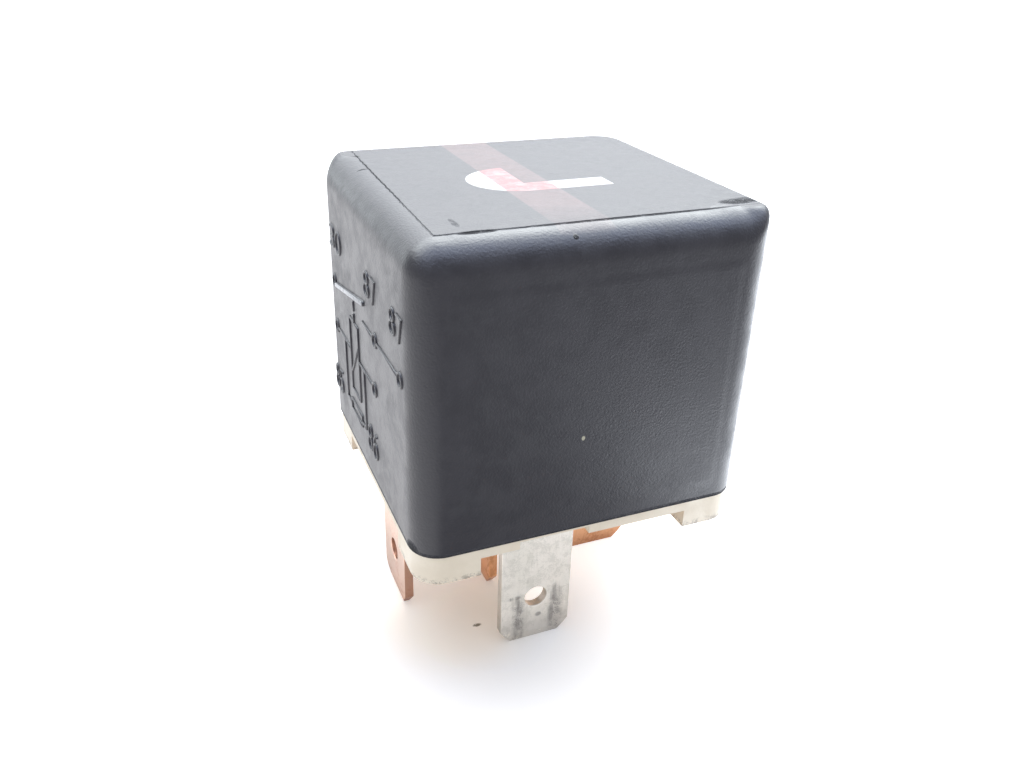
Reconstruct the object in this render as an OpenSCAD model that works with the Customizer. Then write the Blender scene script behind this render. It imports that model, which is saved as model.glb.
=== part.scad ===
// Automotive cube relay with plug-in blades: one common blade (30), two load blades (87)
// and two coil blades (85 and 86). Millimetres, Z up, blade tips on Z = 0,
// diagram side at -X, front at -Y.

/* [Cover] */
// Width of the cover, left to right, at the rim
cover_w = 28; // [26:0.1:34]
// Depth of the cover, front to back, at the rim
cover_d = 27; // [25.5:0.1:34]
// Height of the cover from rim to top
cover_h = 24; // [21:0.1:34]
// Wall of the cover
cover_wall = 1.2; // [0.9:0.05:1.5]
// Radius of the cover's outer edges
cover_edge_r = 2.4; // [1.8:0.1:3.2]
// How far each side leans in between rim and top
cover_draft = 0.1; // [0:0.05:0.3]
// Width of the sunk panel on the cover's front
panel_w = 22.4; // [16:0.1:23]
// Height of the panel's lower edge above the rim
panel_low = 1.6; // [1.2:0.1:4]
// Depth of the panel's upper edge below the top
panel_drop = 3.6; // [3.3:0.1:6]
// Depth of the panel
panel_depth = 0.1; // [0.05:0.01:0.2]

/* [Base] */
// Height of the flange that shows under the rim
flange_t = 0.9; // [0.6:0.05:2]
// How far the flange stays back from the cover's outside
flange_inset = 0.15; // [0.05:0.05:0.4]
// Height of the base's floor inside the cover
plug_t = 2.0; // [1.6:0.1:3]
// Gap between the plug and the cover's inside
plug_gap = 0.1; // [0.05:0.01:0.2]
// Height of the corner feet
foot_h = 1.6; // [0.8:0.1:3]
// Length of a foot along the front and back
foot_len_x = 4.9; // [3.5:0.1:6]
// Length of a foot along the sides
foot_len_y = 5.6; // [3.5:0.1:6]
// Thickness of the feet
foot_wall = 2.6; // [1.6:0.1:3.2]
// Height left of the flange in front of the coil blades
relief_lip = 0.25; // [0.1:0.05:0.5]
// Width of the relief in front of the coil blades
relief_w = 5.9; // [4:0.1:8]
// Height of the guides that hold the coil blades
coil_guide_h = 1.1; // [0.6:0.1:1.4]
// Height of the guide that holds the load blade
load_guide_h = 3.0; // [1:0.1:5]
// Wall of the guides round the blades
guide_wall = 0.9; // [0.5:0.05:1]
// Length of each snap rib
snap_len = 5; // [3:0.1:6]
// Height of each snap rib
snap_h = 1; // [0.6:0.1:1.4]
// How far a snap rib stands out
snap_out = 0.35; // [0.2:0.05:0.5]
// Width of the pads under the yoke
pad_w = 1.2; // [0.8:0.1:1.6]

/* [Blades] */
// Length of a blade below the base's underside
blade_l = 12.3; // [9:0.1:14]
// Width of a blade
blade_w = 6.3; // [4.8:0.1:6.3]
// Thickness of a blade
blade_t = 0.8; // [0.6:0.05:0.9]
// Diameter of the detent hole
hole_d = 2; // [1.4:0.1:2.4]
// Height of the detent hole above the tip
hole_z = 4.4; // [3.5:0.1:5.5]
// Width cut from each corner of the tip
tip_cut_w = 0.95; // [0.5:0.05:1.4]
// Height cut from each corner of the tip
tip_cut_h = 1.2; // [0.6:0.1:2]
// Width of a coil blade's solder post
post_w = 2.5; // [1.6:0.1:3.2]
// Height of the solder post
post_h = 1.6; // [1:0.1:2.2]
// Height of the horn that the wire end is wound on
horn_h = 2.4; // [2:0.1:3]
// Thickness taken off each face at the tip
tip_bevel = 0.12; // [0.05:0.01:0.25]
// Height of that bevel
tip_bevel_h = 0.7; // [0.3:0.1:1.5]
// Inside radius of a bent terminal
bend_r = 0.4; // [0.3:0.05:0.6]
// Gap between a terminal and its slot
slot_gap = 0.05; // [0.02:0.01:0.1]
// Gap between metal pieces that are welded or soldered
weld_gap = 0.02; // [0.01:0.01:0.05]

/* [Blade layout] */
// Load blade's plane, from the cover's left side
load_inset = 2.2; // [2.1:0.05:2.6]
// Centre blade's plane, from the load blade's plane
load_pitch = 8; // [7.5:0.1:8.6]
// Middle of the coil blades, from the load blade's plane
coil_tab_offset = 9; // [8:0.1:9.6]
// Coil blades' planes, from the cover's front and back
coil_tab_inset = 3.5; // [3:0.1:3.8]
// Middle of the common blade, from the cover's right side
common_inset = 6; // [5.6:0.1:6.4]

/* [Magnet] */
// Thickness of the yoke
yoke_t = 1.5; // [1.2:0.1:1.7]
// Width of the yoke
yoke_w = 11; // [9:0.1:12]
// Inside radius of the yoke's bend
yoke_bend_r = 0.6; // [0.4:0.1:1]
// Height of the ears that guide the armature
ear_h = 0.9; // [0.6:0.1:1.1]
// Width of each ear
ear_w = 1.5; // [1:0.1:2]
// Gap between an ear and the armature's neck
ear_gap = 0.2; // [0.1:0.05:0.3]
// Share of the coil's radius that its core takes
core_share = 0.483; // [0.4:0.01:0.52]
// How far the pole head stands out past the core
pole_rim = 1.5; // [0.6:0.1:2]
// Thickness of the pole head
pole_t = 0.8; // [0.5:0.1:1.2]
// How far the core's riveted spigot is set in
spigot_step = 1; // [0.6:0.1:1.5]
// Thickness of the bobbin's flanges
bobbin_flange_t = 1; // [0.7:0.1:1.4]
// Wall of the bobbin's tube
bobbin_wall = 0.65; // [0.5:0.05:0.9]
// How far the winding stays inside the flanges
winding_inset = 0.8; // [0.5:0.1:1.2]
// Gap round the coil, to the yoke and to the contacts
coil_gap = 0.4; // [0.3:0.05:0.6]
// Width of the bobbin's lead ears
lead_ear_w = 4; // [3:0.1:5]
// Radius of the coil's wire ends
wire_r = 0.12; // [0.1:0.01:0.16]
// Turns of each wire end round its horn
lead_turns = 3; // [2:1:4]

/* [Armature and contacts] */
// Room between yoke and cover for the return spring
spring_room = 2.1; // [2:0.05:2.4]
// Thickness of the armature
arm_t = 1.2; // [1:0.05:1.5]
// Gap between the armature's edge and the backstop
arm_clear = 0.85; // [0.6:0.05:1.1]
// Gap between closed armature and yoke
arm_gap = 0.05; // [0.02:0.01:0.08]
// Air gap left at the pole when closed
pole_gap = 0.1; // [0.05:0.01:0.2]
// Travel of the moving contact
contact_travel = 1.1; // [0.8:0.05:1.3]
// Gap left between the contacts when closed
close_gap = 0.05; // [0.03:0.01:0.1]
// Thickness of the contact spring
leaf_t = 0.25; // [0.2:0.05:0.35]
// Width of the contact spring at the armature
leaf_w = 6; // [5:0.1:7]
// Radius of the contacts' heads
contact_r = 1.6; // [1.3:0.1:1.7]
// Height of the contacts' heads
contact_h = 0.95; // [0.7:0.05:1.1]
// Rise of the contacts' domes
contact_dome = 0.15; // [0.05:0.05:0.25]
// Radius of rivet shanks
shank_r = 0.8; // [0.6:0.05:0.9]
// Height of closed rivet heads
head_h = 0.4; // [0.3:0.05:0.45]
// Gap round rivet shanks and the core
rivet_gap = 0.03; // [0.02:0.01:0.05]
// Contact axis, from the load blade's plane
contact_reach = 2.9; // [2.7:0.05:3.1]
// Free height kept under the cover's top
top_clear = 0.5; // [0.4:0.05:0.8]
// Thickness of the backstop strip
stop_t = 0.6; // [0.5:0.05:0.7]
// Width of the backstop strip
stop_w = 1.6; // [1.2:0.1:1.7]
// Depth of the backstop's foot in the base
stop_foot = 1; // [0.6:0.1:1.2]
// Gap between the leaf and the backstop at rest
stop_gap = 0.03; // [0.02:0.01:0.05]

/* [Spring and braid] */
// Radius of the return spring's coils, to the wire's middle
spring_r = 0.6; // [0.5:0.02:0.64]
// Radius of the return spring's wire
spring_wire_r = 0.12; // [0.1:0.01:0.14]
// Turns of the return spring
spring_turns = 9; // [6:1:12]
// Length of the spring's hooks
hook_l = 0.7; // [0.5:0.05:0.8]
// Gap from the cover to the armature's tail and the lug
tail_clear = 0.4; // [0.3:0.05:0.6]
// Thickness of the spring's lug
lug_t = 0.8; // [0.6:0.1:1]
// Height of the lug above the yoke's foot
lug_rise = 8; // [6:0.1:10]
// Radius of the copper braid
braid_r = 0.5; // [0.4:0.05:0.55]

/* [Suppressor] */
// Radius of the resistor's body
res_r = 1.2; // [0.9:0.05:1.25]
// Length of the resistor's body
res_l = 6.5; // [5:0.1:8]
// Length of each swollen end of the body
res_cap_l = 1.1; // [0.8:0.1:1.4]
// How far the swollen ends stand out
res_cap_out = 0.18; // [0.1:0.02:0.24]
// Radius of the resistor's wires
res_wire_r = 0.3; // [0.25:0.05:0.35]
// Gap between the resistor and the base
res_rise = 0.25; // [0.1:0.05:0.4]

/* [Hidden] */
eps = 0.01;
round_fn = 48;
edge_fn = 32;

// heights, from the tips up
base_z = blade_l;
foot_z = base_z - foot_h;
rim_z = base_z + flange_t;
floor_z = rim_z + plug_t;
skirt_h = flange_t / 4;
ceiling_z = rim_z + cover_h - cover_wall;
yoke_z = floor_z + blade_t;
bobbin_z = yoke_z + yoke_t;
closed_stack = arm_gap + arm_t + leaf_t;
pivot_z = ceiling_z - top_clear - head_h - contact_travel - closed_stack;
pole_z = pivot_z - pole_gap;
head_z = pole_z - pole_t;

// plan places
inner_x = cover_w / 2 - cover_wall - cover_draft;
inner_y = cover_d / 2 - cover_wall - cover_draft;
load_x = load_inset - cover_w / 2;
centre_x = load_x + load_pitch;
coil_tab_x = load_x + coil_tab_offset;
coil_tab_y = cover_d / 2 - coil_tab_inset;
rivet_y = blade_t / 2 + bend_r + 2 * shank_r + head_h;
common_x = cover_w / 2 - common_inset;
pivot_x = inner_x - spring_room;
contact_x = load_x + contact_reach;
ledge_end = contact_x + contact_r + coil_gap / 4;
coil_left = ledge_end + coil_gap * 3;
coil_right = pivot_x - yoke_t - max(coil_gap, yoke_bend_r);
axis_x = (coil_left + coil_right) / 2;
flange_r = (coil_right - coil_left) / 2;
winding_r = flange_r - winding_inset;
core_r = flange_r * core_share;
pole_r = core_r + pole_rim;
spigot_r = core_r - spigot_step;
tube_r = core_r + rivet_gap + bobbin_wall;

// the swing
contact_arm = pivot_x - contact_x;
open_angle = asin(contact_travel / contact_arm);
leaf_top = closed_stack;
closed_leaf_z = pivot_z + arm_gap + arm_t;
ledge_z = closed_leaf_z - contact_h - close_gap - contact_h - blade_t;
hook_x = pivot_x + spring_room / 2;
tail_x = inner_x - tail_clear;
lug_out = spring_room - tail_clear;
neck_w = yoke_w - 2 * (ear_w + ear_gap);
arm_left = ledge_end + stop_w + arm_clear;
lug_z = yoke_z + lug_rise;

// height of the open leaf's top above a place
function leaf_z(x) = pivot_z + leaf_top / cos(open_angle) + (pivot_x - x) * tan(open_angle);

// the rivets and the right end of the leaf on the armature
rivet_places = [arm_left + 3 * shank_r, axis_x + pole_r - shank_r];
leaf_right = rivet_places[1] + 4 * shank_r;

// the backstop stands between the contact and the coil, behind the leaf
stop_x = ledge_end + stop_w / 2;
stop_y = leaf_w / 2 + stop_t * 2;
stop_z = leaf_z(stop_x - stop_w / 2) + stop_gap;

// the resistor lies between the load blade's guide and the bobbin
guide_out = blade_t / 2 + slot_gap + guide_wall;
res_x = (load_x + guide_out + coil_left) / 2;
res_z = floor_z + res_rise + res_r;
solder_y = coil_tab_y - blade_t / 2 - res_wire_r - weld_gap;

// the coil blades above the floor, and the room for the winding
horn_w = blade_t;
shoulder_z = yoke_z + coil_guide_h + blade_t;
post_z = shoulder_z + post_h;
horn_top = post_z + horn_h;
winding_h = head_z - bobbin_z - 2 * bobbin_flange_t - 2 * weld_gap;

// a plate with true round corners, centred, from z = 0 up
module round_plate(w, d, r, h) {
    translate([-w / 2 + r, -d / 2, 0]) cube([w - 2 * r, d, h]);
    translate([-w / 2, -d / 2 + r, 0]) cube([w, d - 2 * r, h]);
    for (sx = [-1, 1], sy = [-1, 1])
        translate([sx * (w / 2 - r), sy * (d / 2 - r), 0]) cylinder(r = r, h = h, $fn = round_fn);
}

// a ball whose poles lie exactly on its height
module ball(r) {
    rotate_extrude($fn = edge_fn)
        polygon([for (i = [0:edge_fn / 2])
            let (a = 360 * i / edge_fn - 90)
            [r * cos(a), r * sin(a)]]);
}

// a drafted cap with round edges, open side down, from z = 0 up
module cap(w, d, h, r, draft) {
    hull()
        for (sx = [-1, 1], sy = [-1, 1]) {
            translate([sx * (w / 2 - r), sy * (d / 2 - r), 0])
                cylinder(r = r, h = skirt_h, $fn = edge_fn);
            translate([sx * (w / 2 - r - draft), sy * (d / 2 - r - draft), h - r]) ball(r);
        }
}

// flat outline of a blade: tip at v = 0, straight sides up to v = top
module blade_outline(top) {
    difference() {
        polygon([
            [-blade_w / 2 + tip_cut_w, 0], [blade_w / 2 - tip_cut_w, 0],
            [blade_w / 2, tip_cut_h], [blade_w / 2, top],
            [-blade_w / 2, top], [-blade_w / 2, tip_cut_h]
        ]);
        translate([0, hole_z]) circle(d = hole_d, $fn = round_fn);
    }
}

// a blade standing in the XZ plane, with its bevelled tip
module blade(top) {
    intersection() {
        rotate([90, 0, 0])
            linear_extrude(blade_t, center = true) blade_outline(top);
        rotate([90, 0, 90])
            linear_extrude(blade_w + 2 * eps, center = true)
                polygon([
                    [-blade_t / 2 + tip_bevel, 0], [blade_t / 2 - tip_bevel, 0],
                    [blade_t / 2, tip_bevel_h], [blade_t / 2, top],
                    [-blade_t / 2, top], [-blade_t / 2, tip_bevel_h]
                ]);
    }
}

// a quarter bend of flat strip: comes up at x = 0, leaves along -X at z = its top
module strip_bend(width, thick, inside_r) {
    translate([-thick / 2 - inside_r, 0, 0])
        rotate([90, 0, 0])
            rotate_extrude(angle = 90, $fn = round_fn)
                translate([inside_r, -width / 2]) square([thick, width]);
}

// slot for a blade standing in the XZ plane
module slot(width, from_z, to_z) {
    w = width + 2 * slot_gap;
    t = blade_t + 2 * slot_gap;
    translate([-w / 2, -t / 2, from_z]) cube([w, t, to_z - from_z]);
}

// a closed rivet: shank from z = 0 to h, with a low head above
module rivet(r, h, head_r) {
    cylinder(r = r, h = h, $fn = round_fn);
    translate([0, 0, h])
        rotate_extrude($fn = round_fn)
            polygon([[0, 0], [head_r, 0], [head_r, head_h / 2], [head_r - head_h / 2, head_h], [0, head_h]]);
}

// half profile of a contact's domed head, flat side on v = 0
module contact_profile() {
    flat = contact_h - contact_dome;
    ball = (pow(contact_r, 2) + pow(contact_dome, 2)) / (2 * contact_dome);
    steps = 6;
    polygon(concat(
        [[0, 0], [contact_r, 0]],
        [for (i = [0:steps])
            let (u = contact_r * (1 - i / steps))
            [u, flat + sqrt(pow(ball, 2) - pow(u, 2)) - (ball - contact_dome)]]
    ));
}

function unit(v) = v / norm(v);
function tangent(p, i) = unit(p[min(i + 1, len(p) - 1)] - p[max(i - 1, 0)]);
function across(t, n) = unit(n - t * (n * t));
function carried(p, i, n) =
    i == len(p) ? [] : let (m = across(tangent(p, i), n)) concat([m], carried(p, i + 1, m));

// a round wire of radius r along the points of p
module wire(p, r, sides, start_normal) {
    normals = carried(p, 0, start_normal);
    rings = [for (i = [0:len(p) - 1], k = [0:sides - 1])
        let (a = 360 * k / sides, n = normals[i], b = cross(tangent(p, i), n))
        p[i] + r * (cos(a) * n + sin(a) * b)];
    last = (len(p) - 1) * sides;
    walls = [for (i = [0:len(p) - 2], k = [0:sides - 1])
        let (j = (k + 1) % sides)
        [i * sides + k, (i + 1) * sides + k, (i + 1) * sides + j, i * sides + j]];
    ends = [[for (k = [0:sides - 1]) k], [for (k = [sides - 1:-1:0]) last + k]];
    polyhedron(rings, concat(walls, ends));
}

// turns everything that swings from its closed place to its open one
module opened() {
    translate([pivot_x, 0, pivot_z]) rotate([0, open_angle, 0]) children();
}

module cover() {
    groove = snap_out + plug_gap;
    color("#2b2c31")
        difference() {
            translate([0, 0, rim_z]) cap(cover_w, cover_d, cover_h, cover_edge_r, cover_draft);
            front_panel();
            translate([0, 0, rim_z - eps])
                cap(cover_w - 2 * cover_wall, cover_d - 2 * cover_wall, cover_h - cover_wall + eps,
                    cover_edge_r - cover_wall / 2, cover_draft);
            translate([0, 0, rim_z + plug_t / 2]) snap_ribs(plug_gap, groove);
        }
}

// what the panel takes from the drafted front
module front_panel() {
    lean = atan(cover_draft / (cover_h - cover_edge_r - skirt_h));
    translate([-panel_w / 2, -cover_d / 2, rim_z + skirt_h])
        rotate([-lean, 0, 0])
            translate([0, -panel_depth, panel_low - skirt_h])
                cube([panel_w, 2 * panel_depth, cover_h - panel_low - panel_drop]);
}

// ribs on the four sides of the plug, grown by a gap, standing out by reach
module snap_ribs(gap, reach) {
    x = cover_w / 2 - cover_wall;
    y = cover_d / 2 - cover_wall;
    half = snap_h / 2 + gap;
    for (s = [-1, 1]) {
        translate([s * (x - cover_wall / 2 + (reach - plug_gap) / 2), 0, 0])
            cube([cover_wall + reach - plug_gap, snap_len + 2 * gap, 2 * half], center = true);
        translate([0, s * (y - cover_wall / 2 + (reach - plug_gap) / 2), 0])
            cube([snap_len + 2 * gap, cover_wall + reach - plug_gap, 2 * half], center = true);
    }
}

module base() {
    flange_w = cover_w - 2 * flange_inset;
    flange_d = cover_d - 2 * flange_inset;
    flange_edge_r = cover_edge_r - flange_inset;
    plug_w = cover_w - 2 * (cover_wall + plug_gap + cover_draft);
    plug_d = cover_d - 2 * (cover_wall + plug_gap + cover_draft);
    relief_y = (coil_tab_y + cover_d / 2) / 2;
    relief_h = flange_t - relief_lip;
    color("#ece7d8")
        difference() {
            union() {
                translate([0, 0, base_z]) round_plate(flange_w, flange_d, flange_edge_r, flange_t);
                translate([0, 0, base_z])
                    round_plate(plug_w, plug_d, cover_edge_r - cover_wall / 2, flange_t + plug_t);
                translate([0, 0, rim_z + plug_t / 2]) snap_ribs(0, snap_out);
                intersection() {
                    translate([0, 0, foot_z]) round_plate(flange_w, flange_d, flange_edge_r, foot_h + eps);
                    for (sx = [-1, 1], sy = [-1, 1]) foot(sx, sy, flange_w, flange_d);
                }
                for (s = [-1, 1])
                    translate([coil_tab_x, s * coil_tab_y, floor_z])
                        guide(blade_w, coil_guide_h, guide_wall);
                translate([load_x, 0, floor_z]) rotate([0, 0, 90]) load_guide();
                for (s = [-1, 1])
                    translate([arm_left, s * (yoke_w / 2 - pad_w) - pad_w / 2, floor_z])
                        cube([pad_w, pad_w, yoke_z - floor_z]);
            }
            for (s = [-1, 1]) {
                translate([coil_tab_x, s * coil_tab_y, 0]) slot(blade_w, 0, yoke_z + coil_guide_h);
                translate([coil_tab_x, s * (relief_y + cover_d / 4), base_z + relief_h / 2 - eps])
                    cube([relief_w, cover_d / 2, relief_h + 2 * eps], center = true);
            }
            translate([load_x, 0, 0]) rotate([0, 0, 90]) slot(blade_w, 0, floor_z + load_guide_h + eps);
            translate([centre_x, 0, 0]) rotate([0, 0, 90]) slot(blade_w, 0, floor_z + eps);
            translate([centre_x, 0, floor_z - blade_t]) rotate([0, 0, 90]) bend_relief();
            translate([load_x, -blade_w / 2 - slot_gap, floor_z - blade_t - slot_gap])
                cube([load_pitch, blade_w + 2 * slot_gap, blade_t + slot_gap + eps]);
            translate([common_x, 0, 0]) slot(blade_w, 0, floor_z + eps);
            translate([common_x, 0, floor_z]) bend_relief();
            translate([common_x, rivet_y, floor_z - head_h - slot_gap])
                cylinder(r = 2 * shank_r + slot_gap, h = head_h + slot_gap + eps, $fn = round_fn);
            translate([stop_x, stop_y + stop_t / 2, floor_z - stop_foot])
                backstop_socket();
        }
}

// room beside a slot for the inside of a terminal's bend, towards +Y, below z = 0
module bend_relief() {
    w = blade_w + 2 * slot_gap;
    translate([-w / 2, 0, -bend_r - slot_gap])
        cube([w, blade_t / 2 + bend_r + slot_gap, bend_r + slot_gap + eps]);
}

module backstop_socket() {
    w = stop_w + 2 * slot_gap;
    t = stop_t + 2 * slot_gap;
    translate([-w / 2, -t / 2, -slot_gap]) cube([w, t, stop_foot + slot_gap + eps]);
}

// one L-shaped corner foot
module foot(sx, sy, w, d) {
    x0 = sx > 0 ? w / 2 - foot_len_x : -w / 2;
    y0 = sy > 0 ? d / 2 - foot_wall : -d / 2;
    x1 = sx > 0 ? w / 2 - foot_wall : -w / 2;
    y1 = sy > 0 ? d / 2 - foot_len_y : -d / 2;
    translate([x0, y0, foot_z]) cube([foot_len_x, foot_wall, foot_h + eps]);
    translate([x1, y1, foot_z]) cube([foot_wall, foot_len_y, foot_h + eps]);
}

// raised frame round a blade in the XZ plane
module guide(width, h, wall) {
    w = width + 2 * (slot_gap + wall);
    t = blade_t + 2 * (slot_gap + wall);
    translate([-w / 2, -t / 2, -eps]) cube([w, t, h + eps]);
}

// the load blade's guide has no wall towards the cover
module load_guide() {
    w = blade_w + 2 * (slot_gap + guide_wall);
    t = blade_t / 2 + slot_gap + guide_wall;
    translate([-w / 2, -t, -eps]) cube([w, t + blade_t / 4, load_guide_h + eps]);
}

module terminal_30() {
    foot_l = rivet_y + 2 * shank_r + head_h;
    top = floor_z - bend_r;
    color("#b8683c")
        difference() {
            union() {
                translate([common_x, 0, 0]) blade(top);
                translate([common_x, 0, top])
                    rotate([0, 0, -90]) strip_bend(blade_w, blade_t, bend_r);
                translate([common_x - blade_w / 2, blade_t / 2 + bend_r, floor_z])
                    cube([blade_w, foot_l - blade_t / 2 - bend_r, blade_t]);
            }
            translate([common_x, rivet_y, floor_z - eps])
                cylinder(r = shank_r + rivet_gap, h = blade_t + 2 * eps, $fn = round_fn);
        }
}

// a coil blade with its solder post and winding horn
module coil_terminal() {
    union() {
        blade(shoulder_z);
        rotate([90, 0, 0])
            linear_extrude(blade_t, center = true)
                polygon([
                    [-blade_w / 2, shoulder_z], [blade_w / 2, shoulder_z],
                    [post_w / 2, shoulder_z + blade_t], [post_w / 2, post_z],
                    [horn_w / 2, post_z], [horn_w / 2, horn_top],
                    [-horn_w / 2, horn_top], [-horn_w / 2, post_z],
                    [-post_w / 2, post_z], [-post_w / 2, shoulder_z + blade_t]
                ]);
    }
}

module terminal_85() {
    color("#c9c6bf") translate([coil_tab_x, -coil_tab_y, 0]) coil_terminal();
}

module terminal_86() {
    color("#c9c6bf") translate([coil_tab_x, coil_tab_y, 0]) coil_terminal();
}

// the load blade rises beside the coil and bends over under the moving contact
module terminal_87() {
    strip_w = 2 * contact_r + blade_t;
    wide_top = floor_z + load_guide_h;
    bend_z = ledge_z - bend_r;
    color("#b8683c")
        difference() {
            union() {
                translate([load_x, 0, 0]) rotate([0, 0, 90]) blade(wide_top);
                translate([load_x - blade_t / 2, -strip_w / 2, wide_top])
                    cube([blade_t, strip_w, bend_z - wide_top]);
                translate([load_x, 0, bend_z])
                    mirror([1, 0, 0]) strip_bend(strip_w, blade_t, bend_r);
                translate([load_x + blade_t / 2 + bend_r, -strip_w / 2, ledge_z])
                    cube([ledge_end - load_x - blade_t / 2 - bend_r, strip_w, blade_t]);
            }
            translate([contact_x, 0, ledge_z - eps])
                cylinder(r = shank_r + rivet_gap, h = blade_t + 2 * eps, $fn = round_fn);
        }
}

// the centre blade bends under the floor's surface and meets the load blade
module terminal_87_centre() {
    leg_z = floor_z - blade_t;
    top = leg_z - bend_r;
    leg_end = load_x + blade_t / 2 + weld_gap;
    bend_end = centre_x - blade_t / 2 - bend_r;
    color("#b8683c") {
        translate([centre_x, 0, 0]) rotate([0, 0, 90]) blade(top);
        translate([centre_x, 0, top]) strip_bend(blade_w, blade_t, bend_r);
        translate([leg_end, -blade_w / 2, leg_z]) cube([bend_end - leg_end, blade_w, blade_t]);
    }
}

// an L of bent iron: foot under the coil, leg beside it, ears at the top
module yoke() {
    left = arm_left;
    leg_x = pivot_x - yoke_t;
    outer_r = yoke_bend_r + yoke_t;
    color("#8f9296")
        difference() {
            union() {
                translate([left, -yoke_w / 2, yoke_z]) cube([pivot_x - outer_r - left, yoke_w, yoke_t]);
                translate([pivot_x - outer_r, 0, yoke_z + outer_r])
                    rotate([90, 0, 0])
                        rotate_extrude(angle = -90, $fn = round_fn)
                            translate([yoke_bend_r, -yoke_w / 2]) square([yoke_t, yoke_w]);
                translate([leg_x, -yoke_w / 2, yoke_z + outer_r])
                    cube([yoke_t, yoke_w, pivot_z - yoke_z - outer_r]);
                for (s = [-1, 1])
                    translate([leg_x, s * (yoke_w / 2 - ear_w / 2) - ear_w / 2, pivot_z - eps])
                        cube([yoke_t, ear_w, ear_h + eps]);
                translate([pivot_x - eps, -spring_r - 2 * spring_wire_r, lug_z])
                    cube([lug_out + eps, 2 * (spring_r + 2 * spring_wire_r), lug_t]);
            }
            translate([axis_x, 0, yoke_z - eps])
                cylinder(r = spigot_r + rivet_gap, h = yoke_t + 2 * eps, $fn = round_fn);
            translate([common_x, rivet_y, yoke_z - eps])
                cylinder(r = shank_r + rivet_gap, h = yoke_t + 2 * eps, $fn = round_fn);
            translate([hook_x, 0, lug_z - eps])
                cylinder(r = 3 * spring_wire_r, h = lug_t + 2 * eps, $fn = round_fn);
        }
}

// turned iron core: spigot through the yoke, body, chamfered pole head
module core() {
    spigot_head_r = spigot_r + head_h;
    chamfer = pole_t / 3;
    color("#9a9da1")
        translate([axis_x, 0, 0])
            rotate_extrude($fn = round_fn)
                polygon([
                    [0, yoke_z - head_h], [spigot_head_r, yoke_z - head_h],
                    [spigot_head_r, yoke_z], [spigot_r, yoke_z],
                    [spigot_r, bobbin_z], [core_r, bobbin_z],
                    [core_r, head_z], [pole_r, head_z],
                    [pole_r, pole_z - chamfer], [pole_r - chamfer, pole_z], [0, pole_z]
                ]);
}

// rivet that joins the common blade's foot to the yoke, flush on top
module yoke_rivet() {
    color("#a5a7aa")
        translate([common_x, rivet_y, bobbin_z])
            mirror([0, 0, 1]) rivet(shank_r, yoke_t + blade_t, 2 * shank_r);
}

// moulded coil former: tube, two flanges and two lead ears
module bobbin() {
    ear_end = coil_tab_y - blade_t / 2 - slot_gap;
    color("#3c4a3f")
        difference() {
            union() {
                translate([axis_x, 0, 0])
                    rotate_extrude($fn = round_fn)
                        polygon([
                            [core_r + rivet_gap, bobbin_z], [flange_r, bobbin_z],
                            [flange_r, bobbin_z + bobbin_flange_t], [tube_r, bobbin_z + bobbin_flange_t],
                            [tube_r, head_z - bobbin_flange_t], [flange_r, head_z - bobbin_flange_t],
                            [flange_r, head_z], [core_r + rivet_gap, head_z]
                        ]);
                for (s = [-1, 1])
                    translate([coil_tab_x - lead_ear_w / 2, s > 0 ? tube_r : -ear_end, bobbin_z])
                        cube([lead_ear_w, ear_end - tube_r, bobbin_flange_t]);
            }
            for (s = [-1, 1])
                translate([coil_tab_x, s * ear_end, bobbin_z - eps])
                    cylinder(r = blade_t, h = bobbin_flange_t + 2 * eps, $fn = round_fn);
        }
}

module winding() {
    color("#a5552c")
        translate([axis_x, 0, bobbin_z + bobbin_flange_t + weld_gap])
            difference() {
                cylinder(r = winding_r, h = winding_h, $fn = round_fn);
                translate([0, 0, -eps])
                    cylinder(r = tube_r + weld_gap, h = winding_h + 2 * eps, $fn = round_fn);
            }
}

// wire end from the winding's surface to its horn, with three turns round the horn
function lead_path(side) =
    let (
        turn_r = horn_w / sqrt(2) + weld_gap + wire_r,
        steps = 8,
        pitch = 2.4 * wire_r,
        z0 = horn_top - (lead_turns + 1) * pitch - 4 * wire_r,
        from_a = atan2(coil_tab_y, coil_tab_x - axis_x),
        from_r = winding_r + wire_r + weld_gap,
        from = [axis_x + from_r * cos(from_a), from_r * sin(from_a), z0 - blade_t / 2]
    )
    [for (p = concat(
        [from, [coil_tab_x + turn_r, coil_tab_y - 2.5 * turn_r, z0 - blade_t / 4]],
        [for (i = [0:lead_turns * steps])
            let (a = 360 * i / steps)
            [coil_tab_x + turn_r * cos(a), coil_tab_y + turn_r * sin(a), z0 + pitch * i / steps]]
    )) [p[0], side * p[1], p[2]]];

module lead_start() {
    color("#a5552c") wire(lead_path(-1), wire_r, 6, [0, 0, 1]);
}

module lead_finish() {
    color("#a5552c") wire(lead_path(1), wire_r, 6, [0, 0, 1]);
}

// resistor body with its two swollen end caps
module suppressor() {
    waist = res_r - res_cap_out;
    slope = 2 * res_cap_out;
    color("#6f8fb0")
        translate([res_x, 0, res_z])
            rotate([90, 0, 0])
                rotate_extrude($fn = round_fn)
                    polygon([
                        [0, -res_l / 2], [waist, -res_l / 2], [res_r, -res_l / 2 + slope],
                        [res_r, -res_l / 2 + res_cap_l], [waist, -res_l / 2 + res_cap_l + slope],
                        [waist, res_l / 2 - res_cap_l - slope], [res_r, res_l / 2 - res_cap_l],
                        [res_r, res_l / 2 - slope], [waist, res_l / 2], [0, res_l / 2]
                    ]);
}

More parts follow.
